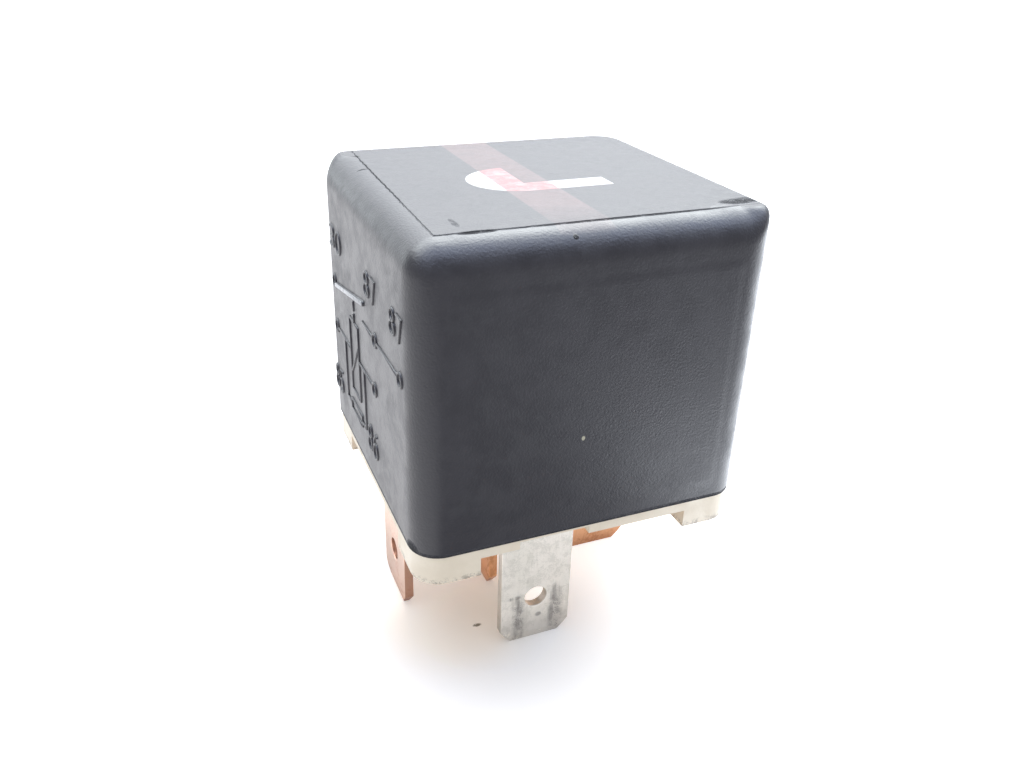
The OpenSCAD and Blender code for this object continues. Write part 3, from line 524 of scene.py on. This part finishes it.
COPPER = (0.93, 0.51, 0.28)
COPPER_PALE = (0.93, 0.56, 0.33)
COPPER_TARNISH = (0.58, 0.25, 0.11)
COPPER_SCUFF = (0.84, 0.55, 0.34)
COPPER_PAINTED_GLARE = (0.70, 0.52, 0.42)
COPPER_PAINTED_GLARE_TARNISHED = (0.55, 0.32, 0.25)
COPPER_SHEARED = (0.34, 0.14, 0.08)
COPPER_TIP = (0.30, 0.12, 0.07)
INNER_BLADES_X, LEFT_BLADE_X = -10.4, -11.4

bare_copper, w, face = finish_of("bare_copper", metallic=0.9)
x, _, z = w.split(w.place())
g = w.use(grain, Scale=2600.0)
tarnish = w.use(grime, Scale=420.0, Amount=0.55)["Mask"]
tip = w.ramp(z, 2.0 * MM, 0.2 * MM)
streaks = w.use(scuffs, Scale=2200.0)["Mask"]
tone = w.blend(g["Tone"], COPPER, COPPER_PALE)
tone = w.blend(w.math("MULTIPLY", tarnish, 0.5), tone, COPPER_TARNISH)
tone = w.blend(w.math("MULTIPLY", streaks, 0.3), tone, COPPER_SCUFF)
# painted glare: the left blade's paler colour, darker where the tarnish lies
painted_glare = w.blend(w.math("MULTIPLY", tarnish, 0.35), COPPER_PAINTED_GLARE, COPPER_PAINTED_GLARE_TARNISHED)
tone = w.blend(w.ramp(x, INNER_BLADES_X * MM, LEFT_BLADE_X * MM), tone, painted_glare)
browned = w.ramp(x, INNER_BLADES_X * MM, LEFT_BLADE_X * MM, 0.12, 0.6)
tone = w.blend(w.math("MULTIPLY", w.kept("sheared"), browned), tone, COPPER_SHEARED)
w.feed(face["Base Color"], w.blend(w.math("MULTIPLY", tip, 0.35), tone, COPPER_TIP))
w.feed(face["Roughness"], w.ramp(w.math("ADD", tarnish, streaks), 0.0, 2.0, 0.34, 0.6))
w.feed(face["Normal"], w.bump(w.math("MULTIPLY_ADD", streaks, 0.8, g["Height"]), 0.00003, 0.5))

for node in ("terminal_30", "terminal_87", "terminal_87_centre"):
    settle(softened(node, BLADE_SOFT), "relay", node, bare_copper)

# ---------------------------------------------------------------------------
# Magnet and contacts. Zinc plated iron, a moulded bobbin and enamelled wire,
# copper alloy springs and silver alloy contacts, all shut in by the cover.

WIRE_PITCH = 0.16
RING_PLACES = (-1.7, -0.8, 0.1, 1.6)
RING_OUTSIDE, RING_INSIDE = 0.28, 0.22


def worked_metal(name, colour, dark, rough, scale=3000.0):
    """Rolled or turned metal: a fine grain, a little tarnish and a few streaks."""
    made, w, face = finish_of(name, metallic=0.95)
    g = w.use(grain, Scale=scale)
    patch = w.use(grime, Scale=scale * 0.15, Amount=0.4)["Mask"]
    line = w.use(scuffs, Scale=scale)["Mask"]
    tone = w.blend(w.math("MULTIPLY", g["Tone"], 0.5), colour, dark)
    w.feed(face["Base Color"], w.blend(w.math("MULTIPLY", patch, 0.5), tone, dark))
    w.feed(face["Roughness"], w.ramp(w.math("ADD", patch, line), 0.0, 2.0, rough, rough + 0.22))
    w.feed(face["Normal"], w.bump(g["Height"], 0.00002, 0.45))
    return made


zinc = worked_metal("zinc_plate", (0.58, 0.59, 0.60), (0.36, 0.36, 0.37), 0.32)
leaf_metal = worked_metal("leaf_metal", (0.74, 0.47, 0.25), (0.48, 0.25, 0.12), 0.25)
silver = worked_metal("silver_alloy", (0.86, 0.86, 0.84), (0.55, 0.53, 0.50), 0.22)
spring_steel = worked_metal("spring_steel", (0.60, 0.61, 0.62), (0.32, 0.32, 0.33), 0.28)
tinned_wire = worked_metal("tinned_wire", (0.74, 0.74, 0.72), (0.50, 0.49, 0.47), 0.3)
strands = worked_metal("copper_strands", (0.64, 0.30, 0.16), (0.30, 0.12, 0.06), 0.35, scale=7000.0)

enamel, w, face = finish_of("enamelled_wire", metallic=0.55)
turns = w.math("SINE", w.math("MULTIPLY", w.split(w.place())[2], 2 * math.pi / (WIRE_PITCH * MM)))
g = w.use(grain, Scale=5200.0)
# painted shade between the wire's turns: the colour darkens in the grooves and pales on the crests, in step
# with the bump
tone = w.blend(w.ramp(turns, -1.0, 1.0), (0.20, 0.055, 0.02), (0.52, 0.19, 0.07))
w.feed(face["Base Color"], w.blend(w.math("MULTIPLY", g["Tone"], 0.3), tone, (0.62, 0.30, 0.12)))
w.feed(face["Roughness"], w.ramp(g["Tone"], 0.0, 1.0, 0.22, 0.38))
w.feed(face["Normal"], w.bump(turns, 0.00005, 0.8))
face["Coat Weight"].default_value = 0.4

former, w, face = finish_of("bobbin_plastic", ior=1.5)
g = w.use(grain, Scale=3600.0)
w.feed(face["Base Color"], w.blend(g["Tone"], (0.05, 0.075, 0.055), (0.09, 0.12, 0.09)))
w.feed(face["Roughness"], w.ramp(g["Tone"], 0.0, 1.0, 0.3, 0.45))
w.feed(face["Normal"], w.bump(g["Height"], 0.00002, 0.4))

lacquer, w, face = finish_of("resistor_lacquer", ior=1.52)
g = w.use(grain, Scale=3000.0)
along = w.math("MULTIPLY", w.split(w.place())[1], 1 / MM)
rings = None
for ring_at in RING_PLACES:
    ring = w.ramp(w.math("ABSOLUTE", w.math("SUBTRACT", along, ring_at)), RING_OUTSIDE, RING_INSIDE)
    rings = ring if rings is None else w.math("MAXIMUM", rings, ring)
tone = w.blend(w.math("MULTIPLY", g["Tone"], 0.4), (0.20, 0.34, 0.50), (0.14, 0.25, 0.38))
w.feed(face["Base Color"], w.blend(rings, tone, (0.30, 0.12, 0.05)))
w.feed(face["Roughness"], w.ramp(g["Tone"], 0.0, 1.0, 0.25, 0.4))
w.feed(face["Normal"], w.bump(g["Height"], 0.00002, 0.4))

inside = dict(yoke=zinc, core=zinc, yoke_rivet=zinc, bobbin=former, winding=enamel, lead_start=enamel,
              lead_finish=enamel, suppressor=lacquer, suppressor_leads=tinned_wire, armature=zinc,
              contact_spring=leaf_metal, spring_rivets=zinc, moving_contact=silver, fixed_contact=silver,
              backstop=tinned_wire)
for node, material in inside.items():
    nodes[node].data.materials.clear()
    nodes[node].data.materials.append(material)


def flexing(node, material):
    """A copy of a CAD node in its place, with the given material. The node itself is hidden."""
    mesh = nodes[node].data.copy()
    mesh.name = node + "_flexing"
    mesh.materials.clear()
    mesh.materials.append(material)
    made = bpy.data.objects.new(node + "_flexing", mesh)
    scene.collection.objects.link(made)
    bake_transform(made)
    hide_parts(node)


flexing("return_spring", spring_steel)
flexing("flex_braid", strands)

# ---------------------------------------------------------------------------
# Cover. One deep moulding in black plastic, spark-textured, with round edges
# and a very low raised panel on its front. It snaps down over the base.

EDGE_R = 2.4
TIGHT_R = 0.5
WALL = 1.2
DRAFT = 0.1
RIM_ROW = 0.3
RIM_SOFT = 0.07
PANEL_X = 11.2
PANEL_LOW, PANEL_HIGH = 14.8, 33.6
PANEL_RISE = 0.04
PANEL_SOFT = 0.13
# the raised top: its height, its soft border and lip, how far its left side runs in, and where it dies away
TOP_STEP = 0.05
TOP_CORNER = 0.15
TOP_LIP = 0.03
TOP_SKEW = 0.4
TOP_FADE = 3.0
cover_low, cover_high = (np.array(corner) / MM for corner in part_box("cover"))
rim_z, top_z = cover_low[2], cover_high[2]
half_x, half_y = cover_high[0], cover_high[1]


def ring_plan(side_x, side_y, arc):
    """Plan of one ring: each point's place along the two sides (from -1 to 1), and the arc's unit direction.
    Four quarter arcs in turn, each followed by the inner points of the next side."""
    turn = np.linspace(0.0, math.pi / 2, arc + 1)
    parts = []
    signs = [(1, 1), (-1, 1), (-1, -1), (1, -1)]
    for k, (sx, sy) in enumerate(signs):
        angle = turn + k * math.pi / 2
        parts.append(np.stack([np.full_like(angle, sx), np.full_like(angle, sy),
                               np.cos(angle), np.sin(angle)], 1))
        nx, ny = signs[(k + 1) % 4]
        between = side_x if nx != sx else side_y
        step = (nx - sx, ny - sy)
        mid = np.zeros((len(between), 4))
        mid[:, 0] = sx + step[0] * (between + 1) / 2
        mid[:, 1] = sy + step[1] * (between + 1) / 2
        out = angle[-1]
        mid[:, 2], mid[:, 3] = math.cos(out), math.sin(out)
        parts.append(mid)
    return np.concatenate(parts)


def near_lines(limit, lines, even):
    """Even places between -1 and 1 with two more beside each line, so that a step there is crisp."""
    spots = list(np.linspace(-limit, limit, even + 2)[1:-1])
    for line in lines:
        spots += [line - PANEL_SOFT, line + PANEL_SOFT]
    return np.unique(np.round(np.array(spots) / limit, 5))


def inside_rows():
    """Rows from the middle of the ceiling out and down the inner wall, and round the rim.
    Each row is the distance in from the cover's side to the ring's core rectangle, the corner's radius,
    the height, and the share of the core that is left."""
    rows = []
    inner_r = EDGE_R - WALL / 2
    inner_top = top_z - WALL
    for share in (0.25, 0.5, 0.75):
        rows.append((WALL + DRAFT + inner_r, 0.0, inner_top, share))
    for a in np.linspace(math.pi / 2, 0.0, 11):
        height = inner_top - inner_r * (1 - math.sin(a))
        rows.append((WALL + DRAFT + inner_r, inner_r * math.cos(a), height, 1.0))
    for height in np.linspace(inner_top - inner_r, rim_z + RIM_ROW, 8)[1:]:
        rows.append((WALL + DRAFT * rise(height) + inner_r, inner_r, height, 1.0))
    rows.append((WALL + inner_r, inner_r, rim_z + RIM_SOFT, 1.0))
    rows.append((WALL + inner_r, inner_r + RIM_SOFT, rim_z, 1.0))
    for out, up in ((RIM_SOFT, 0.0), (RIM_SOFT * 0.3, RIM_SOFT * 0.3), (0.0, RIM_SOFT)):
        rows.append((EDGE_R, EDGE_R - out, rim_z + up, 1.0))
    return np.array(rows)


def rise(height):
    """Share of the draft reached at a height: 0 at the rim, 1 where the rounding begins."""
    return np.clip((np.asarray(height, float) - rim_z) / (top_z - EDGE_R - rim_z), 0.0, 1.0)


def grid_faces(rows, columns):
    """Quads of a grid whose points run column by column within each row.
    The last column is joined to the first."""
    r, c = np.meshgrid(np.arange(rows - 1), np.arange(columns), indexing="ij")
    r, c = r.ravel(), c.ravel()
    n = (c + 1) % columns
    return np.stack([r * columns + c, r * columns + n, (r + 1) * columns + n, (r + 1) * columns + c], 1)


def mesh_piece(name, points, faces, smooth_angle=30.0):
    """A mesh object from points in millimetres.
    Points that fall together are merged, every closed part is turned right side out, and edges that
    turn by more than the angle stay sharp in the shading."""
    mesh = bpy.data.meshes.new(name)
    mesh.from_pydata((np.asarray(points) * MM).tolist(), [], [list(map(int, f)) for f in faces])
    work = bmesh.new()
    work.from_mesh(mesh)
    bmesh.ops.remove_doubles(work, verts=work.verts, dist=1e-6)
    bmesh.ops.recalc_face_normals(work, faces=work.faces)
    work.to_mesh(mesh)
    work.free()
    mesh.validate()
    mesh.shade_smooth()
    mesh.set_sharp_from_angle(angle=math.radians(smooth_angle))
    made = bpy.data.objects.new(name, mesh)
    scene.collection.objects.link(made)
    return made


def cover_shell():
    """Each ring is a rounded rectangle: its core rectangle's corner plus a radius along the arc's direction.
    Up the sides the radius is EDGE_R; over the top it is EDGE_R - r (1 - cos a), at the height
    top - step - r (1 - sin a). Here r goes from EDGE_R on the left and front to TIGHT_R on the right
    and back. The step is the raised top's height, which dies away over TOP_FADE before those tight edges.
    The raised top's left side runs in by TOP_SKEW towards the back. On the front, points inside the panel
    are moved out by PANEL_RISE. One point closes the ceiling and one the top."""
    along_x = near_lines(half_x - EDGE_R, (-PANEL_X, PANEL_X), 26)
    along_y = near_lines(half_y - EDGE_R, (), 26)
    plan = ring_plan(along_x, along_y, 10)
    columns = len(plan)

    def all_round(values):
        return np.repeat(np.reshape(values, (-1, 1)), columns, 1)

    tight = np.clip((plan[:, 2] + plan[:, 3] + 1) / 2, 0.0, 1.0)
    tight = tight * tight * (3 - 2 * tight)
    over = EDGE_R + (TIGHT_R - EDGE_R) * tight
    to_right = (half_x - EDGE_R) * (1 - plan[:, 0])
    to_back = (half_y - EDGE_R) * (1 - plan[:, 1])
    fade = np.clip(np.minimum(to_right, to_back) / TOP_FADE, 0.0, 1.0)
    step = TOP_STEP * fade * fade * (3 - 2 * fade)
    skew = TOP_SKEW * (1 - to_back / (2 * (half_y - EDGE_R))) * np.maximum(-plan[:, 2], 0.0) * (1 - tight)
    lean = DRAFT * (1 - tight)

    inner = inside_rows()
    walls = np.array([rim_z + RIM_ROW, rim_z + 0.8, PANEL_LOW - PANEL_SOFT, PANEL_LOW + PANEL_SOFT,
                      *np.linspace(PANEL_LOW + 0.5, PANEL_HIGH - 0.5, 40),
                      PANEL_HIGH - PANEL_SOFT, PANEL_HIGH + PANEL_SOFT, PANEL_HIGH + 0.5])
    turn = np.linspace(0.0, math.acos(TOP_CORNER / EDGE_R), 12)[:, None]
    bend = EDGE_R - over * (1 - np.cos(turn))
    bend_z = top_z - step - over * (1 - np.sin(turn))
    flat = np.array([0.96, 0.9, 0.8, 0.65, 0.5, 0.35, 0.2, 0.08])

    core = np.concatenate([all_round(inner[:, 0]), EDGE_R + rise(walls)[:, None] * lean,
                           np.repeat((EDGE_R + lean)[None], len(turn) + 3 + len(flat), 0)])
    border = bend[-1:] - skew
    radius = np.concatenate([all_round(inner[:, 1]), all_round(np.full(len(walls), EDGE_R)), bend,
                             border, border, border - TOP_LIP, all_round(np.zeros(len(flat)))])
    lip_z = top_z - TOP_LIP * step[None] / TOP_STEP
    height = np.concatenate([all_round(inner[:, 2]), all_round(walls), bend_z, bend_z[-1:],
                             lip_z, all_round(np.full(1 + len(flat), top_z))])
    share = np.concatenate([inner[:, 3], np.ones(len(walls) + len(turn) + 3), flat])[:, None]
    px = (half_x - core) * share * plan[:, 0] + radius * plan[:, 2]
    py = (half_y - core) * share * plan[:, 1] + radius * plan[:, 3]

    count = len(px)
    on_wall = (np.arange(count) >= len(inner)) & (np.arange(count) < len(inner) + len(walls))
    on_front = on_wall[:, None] & (plan[:, 3] < -0.999)
    in_panel = on_front & (np.abs(px) < PANEL_X) & (height > PANEL_LOW) & (height < PANEL_HIGH)
    py = py - np.where(in_panel, PANEL_RISE, 0.0)

    points = np.stack([px, py, height], -1).reshape(-1, 3)
    points = np.concatenate([points, [[0, 0, top_z - WALL], [0, 0, top_z]]])
    faces = [list(f) for f in grid_faces(count, columns)]
    ceiling, top = count * columns, count * columns + 1
    last = (count - 1) * columns
    faces += [[ceiling, (c + 1) % columns, c] for c in range(columns)]
    faces += [[top, last + c, last + (c + 1) % columns] for c in range(columns)]
    return mesh_piece("cover_shell", points, faces)


BLACK = (0.0110, 0.0100, 0.0155)
BLACK_GRAIN = (0.0170, 0.0158, 0.0215)
BLACK_FOG = (0.034, 0.034, 0.037)
SMUDGE_AND_PAINTED_SHADE = (0.005, 0.005, 0.006)
LIGHT_SPECK = (0.40, 0.38, 0.28)
PAINTED_CREST_HIGHLIGHT = (0.50, 0.51, 0.52)
STRIPE_ON_BLACK = (0.112, 0.066, 0.067)
STRIPE_ON_WHITE = (0.42, 0.10, 0.105)
PRINT_WHITE = (0.86, 0.86, 0.86)
STRIPE_X = (-3.2, 0.95)
BAR_X, BAR_Y = (-1.2, 5.6), (-3.15, -1.0)
ROUND_X, ROUND_Y = -1.1, 0.35
ROUND_REACH_X, ROUND_REACH_Y = 4.1, 3.5
# a smudge: its middle, its reach and how strong it is. The long thin one along the front of the raised top
# carries that crease's dark line of dirt and painted shade.
SMUDGES = (((12.3, -10.2, 37.0), (2.1, 0.8, 0.8), 1.3), ((13.0, -9.9, 36.9), (1.0, 0.6, 0.8), 1.4),
           ((-8.7, -11.2, 37.1), (1.6, 0.25, 0.4), 1.4), ((-9.6, -9.1, 37.2), (0.25, 1.1, 0.4), 0.45),
           ((-11.75, 6.75, 36.9), (0.6, 0.2, 0.4), 2.4), ((-2.2, -12.5, 36.6), (0.22, 0.22, 0.3), 0.8),
           ((2.0, -11.2, 37.1), (11.0, 0.15, 0.3), 0.8))

black_plastic, w, face = finish_of("black_plastic", ior=1.45)
where = w.place()
x, y, z = w.split(where)
g = w.use(grain, Scale=5200.0)
flat_top = w.ramp(z, 36.6 * MM, 37.05 * MM)
fog = w.use(grime, Scale=170.0, Amount=0.55)["Mask"]
tone = w.blend(w.ramp(g["Tone"], 0.0, 1.0), BLACK, BLACK_GRAIN)
tone = w.blend(w.math("MULTIPLY", fog, 0.2), tone, BLACK_FOG)


def band(w, value, low, high, soft):
    """1 between low and high (millimetres), falling to 0 over the soft width outside them."""
    rise = w.ramp(value, (low - soft) * MM, (low + soft) * MM)
    fall = w.ramp(value, (high + soft) * MM, (high - soft) * MM)
    return w.math("MULTIPLY", rise, fall)


# A faded red stripe over the top, and a white bar with a half-round end printed under it.
worn = w.ramp(w.noise(where, 900.0, 5.0, 0.7), 0.25, 0.6, 0.6, 1.0)
faded = w.math("MULTIPLY", flat_top, w.ramp(y, -11.5 * MM, -6.0 * MM, 0.35, 1.0))
stripe = w.math("MULTIPLY", w.math("MULTIPLY", band(w, x, *STRIPE_X, 0.1), faded), worn)
mark_bar = w.math("MULTIPLY", band(w, x, *BAR_X, 0.03), band(w, y, *BAR_Y, 0.03))
round_x = w.math("DIVIDE", w.math("SUBTRACT", x, ROUND_X * MM), ROUND_REACH_X * MM)
round_y = w.math("DIVIDE", w.math("SUBTRACT", y, ROUND_Y * MM), ROUND_REACH_Y * MM)
round_x, round_y = w.math("MULTIPLY", round_x, round_x), w.math("MULTIPLY", round_y, round_y)
round_far = w.math("SQRT", w.math("ADD", round_x, round_y))
left_half = w.ramp(x, (ROUND_X + 0.03) * MM, (ROUND_X - 0.03) * MM)
mark_end = w.math("MULTIPLY", w.ramp(round_far, 1.008, 0.992), left_half)
mark = w.math("MULTIPLY", w.math("MAXIMUM", mark_bar, mark_end), w.ramp(z, 37.0 * MM, 37.1 * MM))
tone = w.blend(w.math("MULTIPLY", stripe, 0.9), tone, STRIPE_ON_BLACK)
paint = w.blend(w.math("MULTIPLY", stripe, 0.95), PRINT_WHITE, STRIPE_ON_WHITE)
tone = w.blend(mark, tone, paint)

# A dark line of dirt and painted shade in the corner round the raised top, the few smudges of a used relay,
# a painted shadow along the rim, and a dark spot at the rim's front left corner.
skew = w.math("MULTIPLY_ADD", y, TOP_SKEW / (2 * (half_y - EDGE_R)), TOP_SKEW / 2 * MM)
step_x = w.math("SUBTRACT", w.math("SUBTRACT", skew, x), (half_x - DRAFT - EDGE_R + TOP_CORNER) * MM)
step_y = w.math("MULTIPLY_ADD", y, -1.0, (-half_y + DRAFT + EDGE_R - TOP_CORNER) * MM)
ragged = w.ramp(w.noise(where, 1800.0, 3.0, 0.7), 0.3, 0.75, -0.02 * MM, 0.10 * MM)
beyond = w.math("SUBTRACT", w.math("MAXIMUM", step_x, step_y), ragged)
# partly dirt, partly painted shade: a dark line at the foot of the raised top's step
line = w.math("MULTIPLY", band(w, beyond, -0.05, 0.03, 0.03), w.ramp(z, 36.7 * MM, 36.9 * MM))
grit = w.use(grime, Scale=1500.0, Amount=0.75)["Mask"]
smudge_and_painted_shade = w.math("MULTIPLY", line, w.ramp(y, -9.0 * MM, 4.0 * MM, 0.15, 1.0))
for spot, reach, weight in SMUDGES:
    blot = w.math("MULTIPLY", w.near(where, spot, reach), w.math("MULTIPLY_ADD", grit, 0.75, 0.15))
    smudge_and_painted_shade = w.math("MAXIMUM", smudge_and_painted_shade, w.math("MULTIPLY", blot, weight), clamp=True)
# painted shadow: a dark line along the bottom of the rim, broken up by grit
rim_painted_shadow = w.ramp(z, (rim_z + 0.35) * MM, (rim_z + 0.05) * MM)
rim_painted_shadow = w.math("MULTIPLY", rim_painted_shadow, w.math("MULTIPLY_ADD", grit, 0.5, 0.4))
rim_corner = w.near(where, (-13.6, -11.6, rim_z + 0.2), (0.9, 0.9, 0.8))
smudge_and_painted_shade = w.math("MAXIMUM", smudge_and_painted_shade, w.math("MAXIMUM", rim_painted_shadow, rim_corner), clamp=True)
tone = w.blend(w.math("MULTIPLY", smudge_and_painted_shade, 0.8), tone, SMUDGE_AND_PAINTED_SHADE)
tone = w.blend(w.near(where, (-1.05, -13.45, 21.35), (0.18, 0.5, 0.24)), tone, LIGHT_SPECK)

# The contact arm stands highest on the left side, so that its crest alone gets a painted highlight in pale
# grey.
slope = DRAFT / (top_z - EDGE_R - rim_z)
proud = w.math("SUBTRACT", w.math("MULTIPLY_ADD", z, slope, (-slope * rim_z - half_x) * MM), x)
crest = w.ramp(proud, 0.15 * MM, 0.2 * MM)
painted_glare = w.math("MULTIPLY", crest, w.ramp(w.noise(where, 1500.0, 3.0), 0.3, 0.55, 0.6, 1.0))
tone = w.blend(painted_glare, tone, PAINTED_CREST_HIGHLIGHT)
w.feed(face["Base Color"], tone)
gloss = w.ramp(g["Tone"], 0.0, 1.0, 0.40, 0.47)
gloss = w.math("MULTIPLY_ADD", smudge_and_painted_shade, 0.5, w.math("MULTIPLY_ADD", fog, 0.06, gloss), clamp=True)
w.feed(face["Roughness"], gloss)
crust = w.math("MULTIPLY", smudge_and_painted_shade, w.noise(where, 9000.0, 3.0, 0.7))
w.feed(face["Normal"], w.bump(w.math("MULTIPLY_ADD", crust, 24.0, g["Height"]), 0.00004, 0.6))

settle(cover_shell(), "relay", "cover", black_plastic)

# ---------------------------------------------------------------------------
# Wiring diagram. Raised lines and terminal numbers on the left side, moulded
# with the cover: a load contact above, and the coil with its resistor below.

LINE_W = 0.23
LINE_H = 0.13
ARM_W = 0.5
ARM_H = 0.24
ROOT = 0.08
END_SHARE = 0.35
RING_R = 0.55


def left_side(height):
    """Place of the left side along X at a height, which leans in with the draft."""
    return -half_x + DRAFT * rise(height)


def ridge(path, width=LINE_W, tall=LINE_H, closed=False):
    """A raised line: a low round-backed profile carried along a path of (y, z) on the left side.
    Each ring is the path's point, moved across the path and out of the side by the profile: half the width
    times cos a, and the height times sin a to the power 0.7. Its root is sunk into the side."""
    path = np.asarray(path, float)
    if not closed:
        start = path[0] + (path[0] - path[1]) / np.linalg.norm(path[0] - path[1]) * width * END_SHARE
        end = path[-1] + (path[-1] - path[-2]) / np.linalg.norm(path[-1] - path[-2]) * width * END_SHARE
        path = np.concatenate([[start], path, [end]])
    if closed:
        along = np.roll(path, -1, 0) - np.roll(path, 1, 0)
    else:
        along = np.gradient(path, axis=0)
    along /= np.linalg.norm(along, axis=1)[:, None]
    across = np.stack([-along[:, 1], along[:, 0]], 1)
    turn = np.linspace(0.0, math.pi, 6)
    profile = np.concatenate([np.stack([np.cos(turn) * width / 2, np.sin(turn) ** 0.7 * tall], 1),
                              [[-width / 2, -ROOT], [width / 2, -ROOT]]])
    share = np.ones(len(path))
    if not closed:
        share[0] = share[-1] = END_SHARE
    across_by = profile[None, :, 0] * share[:, None]
    spot = path[:, None, :] + across[:, None, :] * across_by[..., None]
    out = np.where(profile[None, :, 1] > 0, profile[None, :, 1] * share[:, None], profile[None, :, 1])
    points = np.stack([left_side(spot[..., 1]) - out, spot[..., 0], spot[..., 1]], -1)
    rows, columns = points.shape[:2]
    faces = [list(f) for f in grid_faces(rows, columns)]
    if closed:
        c = np.arange(columns)
        n = (c + 1) % columns
        last = (rows - 1) * columns
        faces += np.stack([last + c, last + n, n, c], 1).tolist()
    else:
        faces += [list(range(columns))[::-1], [(rows - 1) * columns + c for c in range(columns)]]
    return points.reshape(-1, 3), faces


def round_path(cy, cz, ry, rz, start=0.0, end=360.0, count=18):
    """Points on an ellipse about (cy, cz), from start to end in degrees.
    0 is towards the reader's right and 90 is up."""
    turn = np.radians(np.linspace(start, end, count, endpoint=abs(end - start) < 359.9))
    return np.stack([cy - ry * np.cos(turn), cz + rz * np.sin(turn)], 1)


def stroke(*spots):
    """An open path with straight stretches between the spots (y, z)."""
    return np.array(spots, float), False


def ring(y, z):
    """A closed path: the small circle that stands for a terminal."""
    return round_path(y, z, RING_R, RING_R), True


def digit(figure, y_left, z_low, wide, tall):
    """Paths of one figure in a box. y_left is its left edge to the reader, as Y falls to the right."""
    def at(u, v):
        return (y_left - u * wide, z_low + v * tall)

    def loop(u, v, ru, rv):
        return round_path(*at(u, v), ru * wide, rv * tall), True

    def arc(u, v, ru, rv, start, end, count):
        return round_path(*at(u, v), ru * wide, rv * tall, start, end, count), False

    if figure == "0":
        return [loop(0.5, 0.5, 0.5, 0.5)]
    if figure == "3":
        return [arc(0.45, 0.76, 0.45, 0.24, 150, -90, 12), arc(0.45, 0.27, 0.5, 0.27, 90, -150, 14)]
    if figure == "5":
        return [stroke(at(0.95, 1.0), at(0.15, 1.0), at(0.08, 0.58)),
                arc(0.45, 0.31, 0.5, 0.31, 130, -140, 14)]
    if figure == "6":
        return [loop(0.5, 0.3, 0.48, 0.3),
                stroke(at(0.04, 0.36), at(0.16, 0.72), at(0.5, 0.98), at(0.88, 0.96))]
    if figure == "7":
        return [stroke(at(0.0, 1.0), at(1.0, 1.0), at(0.7, 0.5), at(0.4, 0.0))]
    return [loop(0.5, 0.76, 0.4, 0.24), loop(0.5, 0.27, 0.5, 0.27)]


def number(figures, y_left, z_low, wide, tall, gap):
    """The figures side by side, each in a box of its own. The last shape that digit knows is the 8."""
    lines = []
    for k, figure in enumerate(figures):
        lines += digit(figure, y_left - k * (wide + gap), z_low, wide, tall)
    return lines


# Load contact: the ring of 30, two short marks under the arm, and a line through the two rings of 87.
thin = [
    ring(10.1, 26.8),
    stroke((3.2, 27.4), (3.2, 26.6)),
    stroke((3.25, 26.3), (3.25, 25.5)),
    stroke((0.3, 26.85), (-2.8, 26.85)),
    ring(-3.5, 26.85),
    stroke((-4.2, 26.85), (-9.6, 26.85)),
    ring(-10.3, 26.8),
]
# Coil: its box with a slanting line, between the rings of 85 and 86.
thin += [
    ring(10.1, 22.5),
    stroke((9.4, 22.5), (4.8, 22.5)),
    stroke((4.8, 25.5), (2.0, 25.5)),
    stroke((4.8, 18.8), (2.0, 18.8)),
    stroke((4.8, 25.5), (4.8, 18.8)),
    stroke((2.0, 25.5), (2.0, 18.8)),
    stroke((4.6, 20.6), (2.2, 23.6)),
    stroke((2.0, 22.5), (-2.2, 22.5)),
    ring(-2.9, 22.4),
]
# Resistor: a small box on a loop across the coil.
thin += [
    stroke((6.9, 22.5), (6.9, 17.0)),
    stroke((0.4, 22.5), (0.4, 17.0)),
    stroke((6.9, 17.0), (5.5, 17.0)),
    stroke((1.8, 17.0), (0.4, 17.0)),
    stroke((5.5, 17.5), (1.8, 17.5)),
    stroke((5.5, 16.5), (1.8, 16.5)),
    stroke((5.5, 17.5), (5.5, 16.5)),
    stroke((1.8, 17.5), (1.8, 16.5)),
]
thin += number("30", 11.0, 29.85, 1.7, 1.9, 0.6)
thin += number("87", -0.95, 29.7, 1.35, 1.95, 0.5)
thin += number("87", -8.1, 29.6, 1.25, 1.95, 0.45)
thin += number("85", 11.7, 15.95, 1.15, 2.2, 0.4)
thin += number("86", -0.3, 15.8, 1.2, 2.3, 0.4)
# The contact's arm is wider and stands higher than the lines.
contact_arm, _ = stroke((9.3, 26.65), (-0.3, 28.6))

ridges = [ridge(path, closed=closed) for path, closed in thin]
ridges.append(ridge(contact_arm, width=ARM_W, tall=ARM_H))
points, faces, start = [], [], 0
for ridge_points, ridge_faces in ridges:
    points.append(ridge_points)
    faces += [[start + i for i in item] for item in ridge_faces]
    start += len(ridge_points)
diagram = mesh_piece("raised_diagram", np.concatenate(points), faces, smooth_angle=50.0)
settle(diagram, "relay", None, black_plastic)
